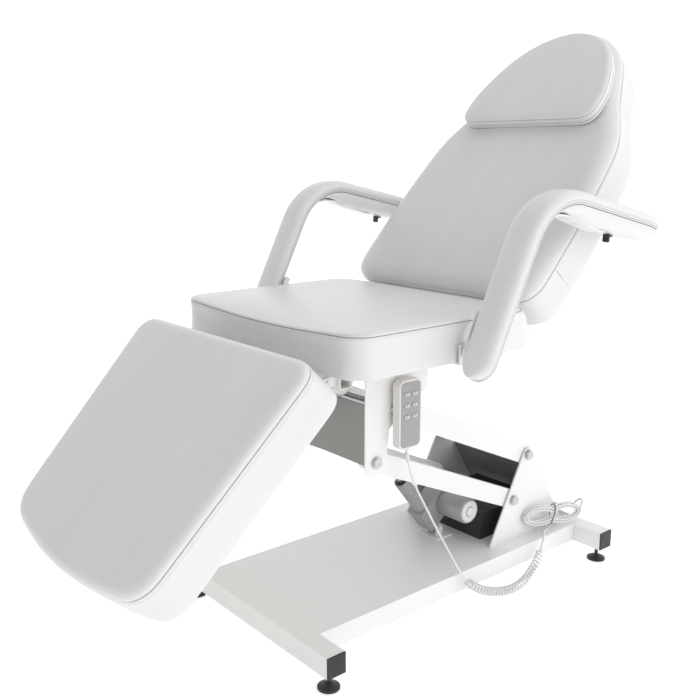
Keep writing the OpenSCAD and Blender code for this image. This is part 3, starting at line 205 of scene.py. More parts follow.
def shader(name, color, rough=0.45, metal=0.0, vary=0.04, vary_scale=5.0, grain=600.0, grain_depth=0.1,
           second=None, coat=0.0, sheen=0.0, stretch=(1, 1, 1), shade_mask=None, bands=None):
    """vary is how far the colour drifts, in clouds of vary_scale that bands or stretch draws out. grain is
    the scale per metre of the fine surface, second that of a coarser wave under it. The mask of painted shade
    adds nodes and returns the socket of a share, and the second colour, the painted shade, that it leads to."""
    m = bpy.data.materials.new(name)
    m.use_nodes = True
    nt = m.node_tree
    link = nt.links.new
    bsdf = nt.nodes["Principled BSDF"]
    for socket, value in (("Metallic", metal), ("Coat Weight", coat), ("Coat Roughness", 0.25),
                          ("Sheen Weight", sheen), ("Specular IOR Level", 0.5)):
        bsdf.inputs[socket].default_value = value
    coord = new_node(nt, "TexCoord")
    mapping = new_node(nt, "Mapping", Scale=stretch)
    link(coord.outputs["Object"], mapping.inputs["Vector"])
    soft = new_node(nt, "Mapping", Scale=bands or stretch)
    link(coord.outputs["Object"], soft.inputs["Vector"])
    cloud = new_node(nt, "TexNoise", Scale=vary_scale, Detail=4.0)
    link(soft.outputs["Vector"], cloud.inputs["Vector"])
    ramp = new_node(nt, "ValToRGB")
    dark, pale = ramp.color_ramp.elements
    dark.position, pale.position = 0.3, 0.7
    dark.color = (*[c * (1 - vary) for c in color], 1)
    pale.color = (*[min(1, c * (1 + vary)) for c in color], 1)
    link(cloud.outputs["Fac"], ramp.inputs["Fac"])
    out_color = ramp.outputs["Color"]
    if shade_mask is not None:
        share, shade_color = shade_mask(nt, coord)
        mix = new_node(nt, "MixRGB", Color2=(*shade_color, 1))
        link(share, mix.inputs["Fac"])
        link(out_color, mix.inputs["Color1"])
        out_color = mix.outputs["Color"]
    link(out_color, bsdf.inputs["Base Color"])
    fine = new_node(nt, "TexNoise", Scale=FINE_SCALE, Detail=3.0)
    link(mapping.outputs["Vector"], fine.inputs["Vector"])
    span = new_node(nt, "MapRange", To_Min=max(0.02, rough - ROUGH_VARY), To_Max=min(1.0, rough + ROUGH_VARY))
    link(fine.outputs["Fac"], span.inputs["Value"])
    link(span.outputs["Result"], bsdf.inputs["Roughness"])
    cell = new_node(nt, "TexVoronoi", Scale=grain)
    link(mapping.outputs["Vector"], cell.inputs["Vector"])
    bump = new_node(nt, "Bump", Strength=grain_depth, Distance=FINE_BUMP)
    link(cell.outputs["Distance"], bump.inputs["Height"])
    if second:
        wave = new_node(nt, "TexNoise", Scale=second, Detail=2.0)
        link(mapping.outputs["Vector"], wave.inputs["Vector"])
        low = new_node(nt, "Bump", Strength=0.25, Distance=WAVE_BUMP)
        link(wave.outputs["Fac"], low.inputs["Height"])
        link(low.outputs["Normal"], bump.inputs["Normal"])
    link(bump.outputs["Normal"], bsdf.inputs["Normal"])
    return m


def inner_face_shade(half, soft, color):
    """Paints shade onto the inner faces of a folded sheet as a darker colour: places nearer the middle plane
    than half, in metres.
    """
    def shade_mask(nt, coord):
        split = new_node(nt, "SeparateXYZ")
        nt.links.new(coord.outputs["Object"], split.inputs["Vector"])
        side = new_node(nt, "Math")
        side.operation = "ABSOLUTE"
        nt.links.new(split.outputs["X"], side.inputs[0])
        span = new_node(nt, "MapRange", From_Min=half, From_Max=half - soft)
        nt.links.new(side.outputs["Value"], span.inputs["Value"])
        return span.outputs["Result"], color
    return shade_mask


VINYL = shader("white_vinyl", (0.760, 0.760, 0.762), rough=0.38, vary=0.035, vary_scale=1.0,
               bands=(5.0, 0.9, 0.9), grain=1500.0, grain_depth=0.10, second=7.0, coat=0.15, sheen=0.03)
# dark lines painted as the shadow in seam grooves and gaps; the second is a little paler
SEAM = shader("seam_shadow", (0.22, 0.22, 0.22), rough=0.8, vary=0.2, vary_scale=90.0, grain=600.0)
PALER_SEAM_SHADOW = shader("paler_seam_shadow", (0.25, 0.25, 0.25), rough=0.7, vary=0.12, vary_scale=90.0, grain=600.0)
THREAD = shader("thread", (0.60, 0.60, 0.60), rough=0.7, vary=0.1, vary_scale=300.0, grain=2600.0,
                grain_depth=0.3)
STEEL = shader("white_steel", (0.835, 0.835, 0.837), rough=0.36, vary=0.012, vary_scale=4.0, grain=1100.0,
               grain_depth=0.05, second=16.0, coat=0.1)
# the inner faces of the rear bracket's and tower's plates are painted dark gray as shade
BRACKET_INNER_SHADE = shader("bracket_steel_inner_shade", (0.835, 0.835, 0.837), rough=0.36, vary=0.012, grain=1100.0,
                 grain_depth=0.05, second=16.0, coat=0.1,
                 shade_mask=inner_face_shade(0.1578, 0.0006, (0.27, 0.27, 0.275)))
TOWER_INNER_SHADE = shader("tower_steel_inner_shade", (0.835, 0.835, 0.837), rough=0.36, vary=0.012, grain=1100.0, grain_depth=0.05,
               second=16.0, coat=0.1, shade_mask=inner_face_shade(0.1590, 0.0008, (0.26, 0.265, 0.26)))
CHROME = shader("chrome", (0.56, 0.56, 0.57), rough=0.24, metal=1.0, vary=0.03, vary_scale=60.0, grain=900.0,
                grain_depth=0.04)
BLACK = shader("black_plastic", (0.018, 0.018, 0.019), rough=0.46, vary=0.25, vary_scale=30.0, grain=1800.0,
               grain_depth=0.25)
BOX = shader("control_box_plastic", (0.035, 0.035, 0.037), rough=0.5, vary=0.2, vary_scale=20.0, grain=1500.0,
             grain_depth=0.25)
GRAY = shader("gray_plastic", (0.36, 0.365, 0.37), rough=0.42, vary=0.03, vary_scale=12.0, grain=1600.0,
              grain_depth=0.12)
MOTOR = shader("motor_paint", (0.40, 0.40, 0.405), rough=0.34, metal=0.3, vary=0.03, vary_scale=12.0,
               grain=1400.0, grain_depth=0.08)
CAP = shader("motor_cap", (0.72, 0.72, 0.71), rough=0.36, vary=0.02, vary_scale=20.0, grain=1400.0,
             grain_depth=0.08)
LIGHT = shader("light_plastic", (0.74, 0.74, 0.73), rough=0.40, vary=0.02, vary_scale=15.0, grain=1700.0,
               grain_depth=0.12)
PANEL = shader("panel_film", (0.34, 0.35, 0.355), rough=0.32, vary=0.02, vary_scale=20.0, grain=2200.0,
               grain_depth=0.06)
KEY = shader("button_rubber", (0.62, 0.63, 0.64), rough=0.5, vary=0.03, vary_scale=80.0, grain=2500.0,
             grain_depth=0.15)
# black for printed marks, and for shade painted in the gaps round buttons and in the motor caps' grooves
PRINT_AND_SHADE = shader("button_print_and_shade", (0.06, 0.06, 0.065), rough=0.5, vary=0.1, vary_scale=200.0, grain=2500.0)
CORD = shader("cord_rubber", (0.76, 0.76, 0.75), rough=0.44, vary=0.03, vary_scale=30.0, grain=1800.0,
              grain_depth=0.12)
CORD_GRAY = shader("curly_rubber", (0.76, 0.76, 0.75), rough=0.42, vary=0.03, vary_scale=30.0, grain=1800.0,
                   grain_depth=0.12)
PLY = shader("plywood", (0.64, 0.58, 0.50), rough=0.6, vary=0.12, vary_scale=9.0, stretch=(0.6, 6.0, 14.0),
             grain=220.0, grain_depth=0.15)

# Cords, on the routes that part.scad holds

LEAD = [[185, 335, 439.7], [185, 335, 434], [187, 338, 418], [190, 344, 391], [195, 358, 351],
        [201, 380, 305], [208, 407, 251], [217, 443, 182], [226, 482, 111], [229, 493, 95], [230, 495, 91]]
CURLY = [[230, 495, 91], [231, 499, 84], [236, 509, 70], [244, 529, 54], [251, 558, 38], [256, 596, 25],
         [257, 637, 16], [256, 677, 14], [252, 714, 20], [247, 746, 33], [242, 771, 46], [236, 793, 65],
         [232, 804, 79], [231, 808, 86]]
TAIL = [[231, 808, 86], [231, 812, 95], [227, 820, 105], [218, 831, 109], [207, 845, 105], [198, 862, 97],
        [188, 890, 94], [176, 924, 94], [170, 960, 94], [167, 984, 94], [159, 999, 95], [144, 1002, 97],
        [126, 993, 102], [111, 976, 109], [102, 961, 113], [100, 950, 114]]
MAINS_IN = [[60, 950, 114], [60, 958, 114], [61, 975, 112], [64, 995, 108], [76, 1009, 102], [98, 1015, 97],
            [130, 1016, 95], [158, 1013, 95], [178, 1010, 96]]
HANK_IN = [-6, -1, -13]
HANK_OUT = [[208.5, 1014, 143], [203, 1021, 149], [190, 1026, 146]]
MAINS_OUT = [[165, 1021, 122], [135, 1017, 114], [105, 1008, 117], [72, 1001, 120], [45, 1000, 116],
             [22, 1000, 109], [4, 1000, 107], [-8, 1000, 107]]
CURLS, CURL_WIRE, CURL_R, CURL_START = 34, 5.0, 9.5, 0.04
CURL_GROW, CURL_LOOK = 0.9, 0.02


def curly_path(per_turn):
    """The curls wind round their line, and narrow to nothing at its two ends."""
    line = catmull(CURLY, 8)
    s = along_line(line)
    s /= s[-1]

    def at(t):
        return np.array([np.interp(t, s, line[:, k]) for k in range(3)])
    out = []
    n = CURLS * per_turn
    for i in range(n + 1):
        t = i / n
        d = unit(at(min(1, t + CURL_LOOK)) - at(max(0, t - CURL_LOOK)))
        f = np.cross(d, [1, 0, 0])
        a = 2 * math.pi * i / per_turn
        from_start, from_end = (t - CURL_START) * CURLS, (1 - CURL_START - t) * CURLS
        r = CURL_R * min(1, max(0, from_start * CURL_GROW), max(0, from_end * CURL_GROW))
        out.append(at(t) + r * (math.cos(a) * np.array([1, 0, 0]) + math.sin(a) * f))
    return np.array(out)


# the wound mains lead lies beside the rear bracket; each loop is step smaller than the one outside it
HANK = dict(mid=(189, 902, 134), yaw=9, tilt=-6, half_l=108, half_h=37, step=8, dip=15, layer=7, loops=4)
MAINS_D, LEAD_D, SLEEVE_D = 6.0, 5.0, 9.2
TIE_R, TIE_POINTS, TIE_HALF = 1.3, 40, (9.5, 3.0, 29.0)


def hank_placed(v):
    """A place in the hank's own frame, tilted, yawed and moved to where the hank hangs."""
    a = turned([v[1], v[2]], HANK["tilt"])
    b = turned([v[0], a[0]], -HANK["yaw"])
    return np.array([b[0], b[1], a[1]]) + np.array(HANK["mid"], float)


def hank_flat(turns):
    """A point of the hank's figure in its own frame: across, along and up, after a number of turns."""
    loops = HANK["loops"]
    depth = HANK["step"] * (turns if turns < loops / 2 else loops - turns)
    side = HANK["layer"] * min(0.25, max(-0.25, turns - loops / 2)) * 2
    a = 2 * math.pi * turns
    w = abs(math.cos(a))
    return [side, (HANK["half_l"] - depth) * math.cos(a),
            (HANK["half_h"] - depth - HANK["dip"] * (1 - w) ** 2) * math.sin(a)]


def hank_path(per_loop):
    pts = [hank_placed(hank_flat(i / per_loop)) for i in range(HANK["loops"] * per_loop + 1)]
    return np.array([pts[0] - hank_lift] + pts + [pts[-1] + hank_lift])


def cord_piece(name, node, line, d, mat, body="base", sides=12):
    """The tube of a cord, d millimetres thick, that stands for a node."""
    ob = sweep(name, line, d / 2000, mat, sides=sides)
    if body:
        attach(ob, body)
    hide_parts(node)
    return ob


hank_lift = hank_placed([0, 0, MAINS_D]) - hank_placed([0, 0, 0])
curl = row(curly_path(20))
curly = cord_piece("curly_cord_wound", "curly_cord", curl, CURL_WIRE, CORD_GRAY, sides=10)

lead_line = row(catmull(LEAD, 6))
lead = cord_piece("handset_lead_cord", "handset_lead", lead_line, LEAD_D, CORD_GRAY, body=None)
# its upper end goes up and down with the lift arms, much as the handset does, and its lower end stays
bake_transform(lead)

sleeve = sweep("handset_sleeve", row(np.linspace(LEAD[0], LEAD[2], 5)), SLEEVE_D / 2000, CORD_GRAY, sides=16)
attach(sleeve, "handset")

tail_line = row(catmull(TAIL, 6))
tail = cord_piece("handset_tail_cord", "handset_tail", tail_line, LEAD_D, CORD_GRAY)

hank_mm = hank_path(48)
hank_line = row(hank_mm)
hank = cord_piece("mains_hank_cord", "mains_hank", hank_line, MAINS_D, CORD)

in_line = row(catmull(MAINS_IN + [hank_mm[0] + HANK_IN, hank_mm[0]], 6))
mains_in = cord_piece("mains_lead_cord", "mains_lead", in_line, MAINS_D, CORD)

hank_end = hank_mm[-1]
end_line = row(catmull([hank_end, hank_end + MAINS_D * unit(hank_lift)] + HANK_OUT + MAINS_OUT, 6))
mains_end = cord_piece("mains_end_cord", "mains_lead", end_line, MAINS_D, CORD)

# tie round the hank
turns = [2 * math.pi * i / TIE_POINTS for i in range(TIE_POINTS)]
tie_ring = [hank_placed([TIE_HALF[0] * math.cos(a), TIE_HALF[1] * math.sin(2 * a), TIE_HALF[2] * math.sin(a)])
            for a in turns]
tie = sweep("hank_tie", row(tie_ring), TIE_R / 1000, BLACK, sides=8, closed=True)
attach(tie, "base")

# Upholstery


def outward(outline):
    """Unit normals of a closed outline that runs counter-clockwise."""
    t = np.roll(outline, -1, axis=0) - np.roll(outline, 1, axis=0)
    n = np.stack([t[:, 1], -t[:, 0]], axis=1)
    return n / np.linalg.norm(n, axis=1)[:, None]


def smooth_ring(values, rounds):
    for _ in range(rounds):
        values = (np.roll(values, 1, axis=0) + 2 * values + np.roll(values, -1, axis=0)) / 4
    return values


def smooth_line(pts, coarse, fine, rounds):
    """A closed outline through rough points, as fine even points."""
    line = catmull(even(pts, coarse, closed=True), 4, closed=True)
    return even(smooth_ring(even(line, fine, closed=True), rounds), fine, closed=True)


def inset(outline, d):
    """The outline moved in by d along its smoothed normals."""
    if d <= 0.01:
        return outline.copy()
    nrm = smooth_ring(outward(outline), 2)
    nrm /= np.linalg.norm(nrm, axis=1)[:, None]
    return outline - nrm * d


EDGE_POINTS, CHUNK = 1400, 400


def edge_distance(pts, outline):
    """Smooth distance of points from an outline: nearly the true one at the edge, without ridges inside."""
    fine = even(outline, EDGE_POINTS, closed=True)
    step = np.linalg.norm(fine[1] - fine[0])
    out = np.zeros(len(pts))
    for i in range(0, len(pts), CHUNK):
        d = np.linalg.norm(pts[i:i + CHUNK, None, :] - fine[None, :, :], axis=2)
        out[i:i + CHUNK] = np.sqrt(2.0 / (step / np.maximum(d, 1.0) ** 3).sum(axis=1))
    return out


def inside(pts, outline):
    """Which points lie inside a closed outline."""
    hit = np.zeros(len(pts), bool)
    a, b = outline, np.roll(outline, -1, axis=0)
    for (x0, y0), (x1, y1) in zip(a, b):
        if y0 == y1:
            continue
        cross = (y0 > pts[:, 1]) != (y1 > pts[:, 1])
        at = x0 + (pts[:, 1] - y0) * (x1 - x0) / (y1 - y0)
        hit ^= cross & (pts[:, 0] < at)
    return hit


# the face's mesh: distance of its rows, and least distance from the edge, as shares of its step
ROW_SHARE, EDGE_SHARE = 0.87, 0.62
SEAM_R, THIN_SEAM_R = 0.0007, 0.0006


def cushion(name, outline, mid, profile, place, top, seams=(), step=10.0, sides=None):
    """A stuffed form: rings along profile, a list of (inset, height) from the foot of the wall to the edge
    of the face, closed below at the first ring and above by a fine mesh whose height top(points, distance
    from the edge) gives. sides moves the points of the rings, and each of seams is (tag, inset, height,
    radius) of a dark line round the wall, painted shadow of the seam. place turns (x, s, n) into row-frame
    metres."""
    rings = []
    for d, h in profile:
        ring = inset(outline, d)
        rings.append(np.column_stack([ring, np.full(len(ring), h)]))
    edge = rings[-1][:, :2]
    lo, hi = edge.min(axis=0), edge.max(axis=0)
    gx, gy = np.meshgrid(np.arange(lo[0], hi[0], step), np.arange(lo[1], hi[1], step * ROW_SHARE))
    gx = gx + (np.arange(gx.shape[0])[:, None] % 2) * step / 2
    grid = np.column_stack([gx.ravel(), gy.ravel()])
    grid = grid[inside(grid, edge)]
    near = np.array([np.min(((edge - q) ** 2).sum(axis=1)) for q in grid])
    grid = grid[near > (step * EDGE_SHARE) ** 2]
    if sides is not None:
        rings = [sides(r) for r in rings]
    flat = [Vector(q) for q in np.vstack([edge, grid])]
    loop = [list(range(len(edge)))]
    cdt = delaunay_2d_cdt(flat, [], loop, 1, 1e-6)
    n, m = len(outline), len(rings)
    local = np.concatenate(rings)
    base = (m - 1) * n
    face_xy = np.array([[v[0], v[1]] for v in cdt[0]])
    index = []
    extra = []
    for k, src in enumerate(cdt[3]):
        if src and src[0] < len(edge):
            index.append(base + src[0])
        else:
            index.append(n * m + len(extra))
            extra.append(face_xy[k])
    extra = np.array(extra)
    z = top(extra, edge_distance(extra, edge))
    local = np.vstack([local, np.column_stack([extra, z])])
    verts = [place(p) for p in local] + [place((mid[0], mid[1], profile[0][1]))]
    faces = grid_faces(m, n)
    faces += [((j + 1) % n, j, len(verts) - 1) for j in range(n)]
    for tri in cdt[2]:
        q = [index[k] for k in tri]
        a, b, c = face_xy[tri[0]], face_xy[tri[1]], face_xy[tri[2]]
        if (b[0] - a[0]) * (c[1] - a[1]) - (b[1] - a[1]) * (c[0] - a[0]) < 0:
            q.reverse()
        faces.append(tuple(q))
    ob = mesh_object(name, verts, faces, VINYL)
    lines = []
    for tag, d, h, radius in seams:
        ring = np.column_stack([inset(outline, d), np.full(len(outline), h)])
        if sides is not None:
            ring = sides(ring)
        pts = np.array([place(q) for q in ring])
        # each seam is a thin dark tube, the painted shadow of its groove
        lines.append(sweep(name + "_" + tag, pts, radius, PALER_SEAM_SHADOW, sides=6, closed=True))
    return ob, lines


def soft_waves(pts, size, along, seed):
    """Gentle unevenness of stuffed vinyl, longer along the second direction."""
    return np.array([noise.noise(Vector((x / size + seed, y / (size * along) - seed, seed)))
                     + 0.3 * noise.noise(Vector((x / (size * 0.4) - seed, y / (size * 0.5) + seed, 2 * seed)))
                     for x, y in pts])


def crowned(base, rise, run, wave, size, along, seed, fade):
    """Height of a stuffed face: base at its edge, rise more from about run inward, and waves that fade in."""
    def top(pts, d):
        z = base + rise * (1 - np.exp(-d / run))
        return z + wave * soft_waves(pts, size, along, seed) * np.clip(d / fade, 0, 1)
    return top


def rolled(r_in, r_down, top, steps):
    """Part of an oval from the wall to the face: inset r_in, drop r_down."""
    angles = [math.radians(90 * i / steps) for i in range(1, steps + 1)]
    return [(r_in * (1 - math.cos(a)), top - r_down * (1 - math.sin(a))) for a in angles]


def stitches(name, pts, spacing, length, radius, mat):
    """A row of short threads lying along a closed or open line of row-frame points."""
    s = along_line(pts)
    verts, faces = [], []
    count = int(s[-1] / spacing)
    for i in range(count):
        mids = [(i + 0.5) * spacing - length / 2, (i + 0.5) * spacing + length / 2]
        a, b = [np.array([np.interp(t, s, pts[:, k]) for k in range(3)]) for t in mids]
        d = unit(b - a)
        e = unit(np.cross(d, [0.31, 0.52, 0.79]))
        f = np.cross(d, e)
        base = len(verts)
        for q, r in ((a, 0.5), (a + d * radius, 1.0), (b - d * radius, 1.0), (b, 0.5)):
            for k in range(5):
                t = 2 * math.pi * k / 5
                verts.append(q + radius * r * (math.cos(t) * e + math.sin(t) * f))
        faces += grid_faces(4, 5, start=base)
        faces += [tuple(base + k for k in range(4, -1, -1)), tuple(base + 15 + k for k in range(5))]
    return mesh_object(name, verts, faces, mat)


def box_line(w, length, r, steps):
    """A rectangle with rounded corners, its front edge on y = 0."""
    quarter = [90 * i / steps for i in range(steps + 1)]
    corners = [(w / 2 - r, r, -90), (w / 2 - r, length - r, 0), (-w / 2 + r, length - r, 90),
               (-w / 2 + r, r, 180)]
    return np.array([q for x, y, first in corners for q in arc(x, y, r, [first + t for t in quarter])])


BACK_ANGLE, BACK_AT = 47, [579, 800]
LEG_ANGLE, LEG_HINGE, LEG_OFF = 46, [50.0, 668.0], [-19, 131]
LEG_O = np.array(LEG_HINGE) + turned(LEG_OFF, LEG_ANGLE)


def at_back(p):
    y, z = np.array(BACK_AT) + turned([p[1], p[2]], BACK_ANGLE)
    return row([p[0], y, z])


def at_leg(p):
    q = LEG_O + turned([p[1], p[2]], LEG_ANGLE)
    return row([p[0], q[0], q[1]])


def dress(ob, lines, body, node):
    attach(ob, body)
    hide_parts(node)
    for line in lines:
        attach(line, body)


# Seat: a boxed slab with rounded corners, a rolled rear edge, and a front edge that dips in its middle
SEAT_W, SEAT_L, SEAT_H, SEAT_R, SEAT_POINTS = 672.0, 558.0, 86.0, 55, 320
seat_line = even(box_line(SEAT_W, SEAT_L, SEAT_R, 12), SEAT_POINTS, closed=True)
seat_mid = np.array([0.0, SEAT_L / 2])
SEAT_AT = [50, 697]
SEAT_REAR_R, SEAT_ROLL_TOP, SEAT_SEAM = 45.0, 84, 75.5
SEAT_FLAT, SEAT_CORNER = 230, 106
STITCH_UP, STITCH_END = 69.5, 60
DIP, DIP_HALF, DIP_DEEP = 11.0, 320.0, 85.0
SWELL, SWELL_Z = 120.0, 90.0
CROWN = dict(edge=8.2, middle=1.5, run=60.0, wave=1.6, size=190.0, along=1.4, seed=3.1, fade=50.0)


def seat_dip(x, y):
    return DIP * np.clip(1 - (x / DIP_HALF) ** 2, 0, 1) ** 1.5 * np.exp(-(y / DIP_DEEP) ** 2)


def seat_sides(r):
    r = r.copy()
    share = np.clip(r[:, 2] / SEAT_SEAM, 0, 1.2)
    r[:, 2] -= share * seat_dip(r[:, 0], r[:, 1])
    # shallow hollows and swells of the wall between foot and seam
    mid_share = np.clip(np.sin(np.pi * np.clip(r[:, 2] / SEAT_SEAM, 0, 1)), 0, 1)
    v = r[:, :2] - seat_mid
    v /= np.linalg.norm(v, axis=1)[:, None]
    w = np.array([noise.noise(Vector((x / SWELL, y / SWELL, z / SWELL_Z + 4))) for x, y, z in r])
    r[:, :2] -= v * (mid_share * (0.8 + 1.2 * w))[:, None]
    return r


def seat_top(pts, d):
    z = SEAT_SEAM + CROWN["edge"] - seat_dip(pts[:, 0], pts[:, 1])
    z = z + (SEAT_H + CROWN["middle"] - z) * (1 - np.exp(-d / CROWN["run"]))
    waves = soft_waves(pts, CROWN["size"], CROWN["along"], CROWN["seed"])
    return z + CROWN["wave"] * waves * np.clip(d / CROWN["fade"], 0, 1)


def ease(t):
    t = min(1.0, max(0.0, t))
    return t * t * (3 - 2 * t)


def at_seat(p):
    """The upper part of the seat's rear end is drawn in to a quarter round."""
    x, y, z = p
    s = min(1.0, max(0.0, (z - (SEAT_ROLL_TOP - SEAT_REAR_R)) / SEAT_REAR_R))
    pull = SEAT_REAR_R * (1 - math.sqrt(1 - s * s))
    start = SEAT_L - 2 * SEAT_REAR_R
    if y > start:
        near_corner = ease((y - start) / (SEAT_L - start)) * ease((abs(x) - SEAT_FLAT) / SEAT_CORNER)
        x -= math.copysign(0.6 * pull * near_corner, x)
        y = start + (y - start) * (1 - pull / (SEAT_L - start))
    return row([x, SEAT_AT[0] + y, SEAT_AT[1] + z])


seat_profile = [(1.5, 0.25), (1.5, -12.0), (0.4, -12.1), (0.2, -11.4), (0.1, -9), (0.1, -3), (0.3, 3),
                (0.5, 12), (1.0, 26), (1.2, 42), (0.9, 56), (0.4, 66), (0.2, 71), (0.5, 73.4), (1.8, 74.9),
                (2.4, SEAT_SEAM), (1.8, 76.1), (1.0, 77.2), (1.4, 78.8), (2.6, 80.4), (4.8, 81.8),
                (8.0, 82.9), (12.0, 83.6)]
seat, seat_seams = cushion("seat_pad", seat_line, seat_mid, seat_profile, at_seat, seat_top, sides=seat_sides,
                           seams=[("seam", 1.6, SEAT_SEAM, SEAM_R)])
dress(seat, seat_seams, "seat_unit", "seat_cushion")
# the seat's stitches run round its front and sides, and end short of the rolled rear
low_ring = seat_sides(np.column_stack([inset(seat_line, 0.25), np.full(len(seat_line), STITCH_UP)]))
keep = [i for i, q in enumerate(seat_line) if q[1] < SEAT_L - STITCH_END]
cut = next((k for k in range(len(keep) - 1) if keep[k + 1] != keep[k] + 1), len(keep) - 1)
ordered = keep[cut + 1:] + keep[:cut + 1]
seat_stitch = stitches("seat_stitching", np.array([at_seat(low_ring[i]) for i in ordered]), spacing=0.0062,
                       length=0.0040, radius=0.00045, mat=THREAD)
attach(seat_stitch, "seat_unit")

# Backrest: shoulders that narrow to the head, a soft roll round its face and a boxed side
BACK_W, BACK_L, BACK_T, ROLL, BACK_CORNER, BOARD_T = 644.0, 924.0, 128.0, 35.0, 60, 12
width_share = [1, 0.985, 0.955, 0.915, 0.815, 0.722, 0.66, 0.55, 0.488, 0.4, 0.31, 0.2, 0.07]
place_share = [0.22, 0.368, 0.497, 0.562, 0.636, 0.693, 0.747, 0.839, 0.88, 0.92, 0.951, 0.978, 0.998]
half = arc(BACK_W / 2 - BACK_CORNER, BACK_CORNER, BACK_CORNER, range(-90, 1, 15))
half += [[w * BACK_W / 2, s * BACK_L] for w, s in zip(width_share, place_share)]
back_pts = half + [[-x, y] for x, y in reversed(half)]
back_line = smooth_line(back_pts, 110, 360, 10)
back_mid = np.array([0.0, BACK_L * 0.47])
FOAM = BACK_T - BOARD_T
back_profile = [(4.4, -FOAM + 0.25), (4.4, -FOAM - 12.0), (2.6, -FOAM - 12.1), (1.8, -FOAM - 11),
                (1.2, -FOAM - 6), (0.6, -FOAM + 2), (0.3, -FOAM + 10), (0.6, -FOAM + 24),
                (1.8, -(FOAM + ROLL) / 2), (1.0, -52), (0.2, -42), (0.2, -38.4), (1.6, -36.6), (2.3, -36),
                (1.6, -35.4), (0.5, -33.6)]
back_profile += [(d + 0.4, h) for d, h in rolled(46, ROLL - 1.6, -0.6, 11)[1:]]
back, back_seams = cushion("backrest_pad", back_line, back_mid, back_profile, at_back,
                           crowned(base=-0.6, rise=4.6, run=55.0, wave=3.0, size=170.0, along=3.2, seed=5.2,
                                   fade=60.0),
                           seams=[("seam", 1.5, -36.0, SEAM_R)])
dress(back, back_seams, "backrest", "backrest_cushion")


def side_seam(name, place, x, pts, body):
    """A seam across a boxed side, drawn as a dark line of painted seam shadow, from the roll to the back, on
    both sides. Points: (s, n, how far in).
    """
    for sign, tag in ((1, "right"), (-1, "left")):
        p = np.array([place((sign * (x - d), s, h)) for s, h, d in pts])
        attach(sweep(name + "_" + tag, p, THIN_SEAM_R, PALER_SEAM_SHADOW, sides=6), body)


side_seam("backrest_side_seam", at_back, BACK_W / 2,
          [(114, -37, 1.2), (115, -48, 0.6), (117, -76, 1.9), (118, -96, 1.0), (119, -112, 0.7)], "backrest")

# Head pillow, laid on the backrest
PIL_W, PIL_L, PIL_T, PIL_S, PIL_LIFT = 452.0, 334.0, 36.0, 538.0, 4.6
pil_widths = [1, 0.985, 0.935, 0.85, 0.745, 0.6, 0.42, 0.22, 0.07]
pil_places = [0.2, 0.31, 0.43, 0.58, 0.71, 0.83, 0.92, 0.975, 0.997]
pil_corner = PIL_L * 0.12
half = arc(PIL_W / 2 - pil_corner, pil_corner, pil_corner, range(-90, -10, 15))
half += [[w * PIL_W / 2, s * PIL_L] for w, s in zip(pil_widths, pil_places)]
pil_pts = half + [[-x, y] for x, y in reversed(half)]
pil_line = smooth_line(pil_pts, 90, 260, 8)
pil_mid = np.array([0.0, PIL_L * 0.42])


def at_pillow(p):
    return at_back((p[0], p[1] + PIL_S, p[2] + PIL_LIFT))


pil_profile = [(6, 0.3), (3, 0.7), (1.4, 2.0), (0.8, 4.4), (0.4, 7.2), (0.9, 8.6), (1.7, 9.3), (2.2, 9.8),
               (1.7, 10.3), (0.8, 11), (0.3, 13), (0.5, 18), (0.4, 22), (0.5, 23.6), (1.5, 24.6), (2.1, 25.1),
               (1.5, 25.6), (0.9, 26.6)]
pil_profile += [(d + 0.8, h) for d, h in rolled(17, PIL_T - 26.0, PIL_T - 0.8, 7)[1:]]
pillow, pil_seams = cushion("head_pillow_pad", pil_line, pil_mid, pil_profile, at_pillow,
                            crowned(base=PIL_T - 0.8, rise=4.4, run=40.0, wave=1.8, size=130.0, along=1.2,
                                    seed=8.1, fade=40.0), step=8.0,
                            seams=[("low_seam", 1.6, 9.8, THIN_SEAM_R), ("seam", 1.5, 25.1, THIN_SEAM_R)])
dress(pillow, pil_seams, "backrest", "head_pillow")

# Leg rest: wide at the seat, narrower and bowed at its end
LEG_W, LEG_EW, LEG_L, LEG_T, LIP, BULGE = 668.0, 600.0, 574.0, 112.0, 5.0, 42.0
CORNER, TOP_R, LEG_R = 75.0, 45.0, 20.0
end_r = (LEG_EW ** 2 / 4 + BULGE ** 2) / (2 * BULGE)
tip = LIP - LEG_L
arc_mid = np.array([0.0, tip + end_r])
cx = LEG_EW / 2 - CORNER
cy = arc_mid[1] - math.sqrt((end_r - CORNER) ** 2 - cx ** 2)
bow = math.degrees(math.asin(cx / (end_r - CORNER)))
right_half = arc(cx, cy, CORNER, np.linspace(-90 + bow, -4, 9))
right_half += arc(LEG_W / 2 - TOP_R, LIP - TOP_R, TOP_R, range(0, 91, 15))
bottom = arc(arc_mid[0], arc_mid[1], end_r, np.linspace(-90 - bow, -90 + bow, 12)[1:-1])
leg_pts = right_half + [[-x, y] for x, y in reversed(right_half)] + bottom
leg_line = even(smooth_ring(even(np.array(leg_pts), 340, closed=True), 5), 340, closed=True)
leg_mid = np.array([0.0, LIP - LEG_L * 0.5])
LEG_FOAM = LEG_T - BOARD_T
leg_profile = [(4.4, -LEG_FOAM + 0.25), (4.4, -LEG_FOAM - 12.0), (2.6, -LEG_FOAM - 12.1),
               (1.8, -LEG_FOAM - 11), (1.2, -LEG_FOAM - 6), (0.6, -LEG_FOAM + 2), (0.3, -LEG_FOAM + 9),
               (0.7, -LEG_FOAM + 20), (1.6, -(LEG_FOAM + LEG_R) / 2), (1.0, -38), (0.3, -28), (0.2, -23),
               (1.6, -21.2), (2.2, -20.6), (1.6, -20), (0.5, -18.6)]
leg_profile += [(d + 0.4, h) for d, h in rolled(26, LEG_R - 2.0, -0.8, 9)[1:]]
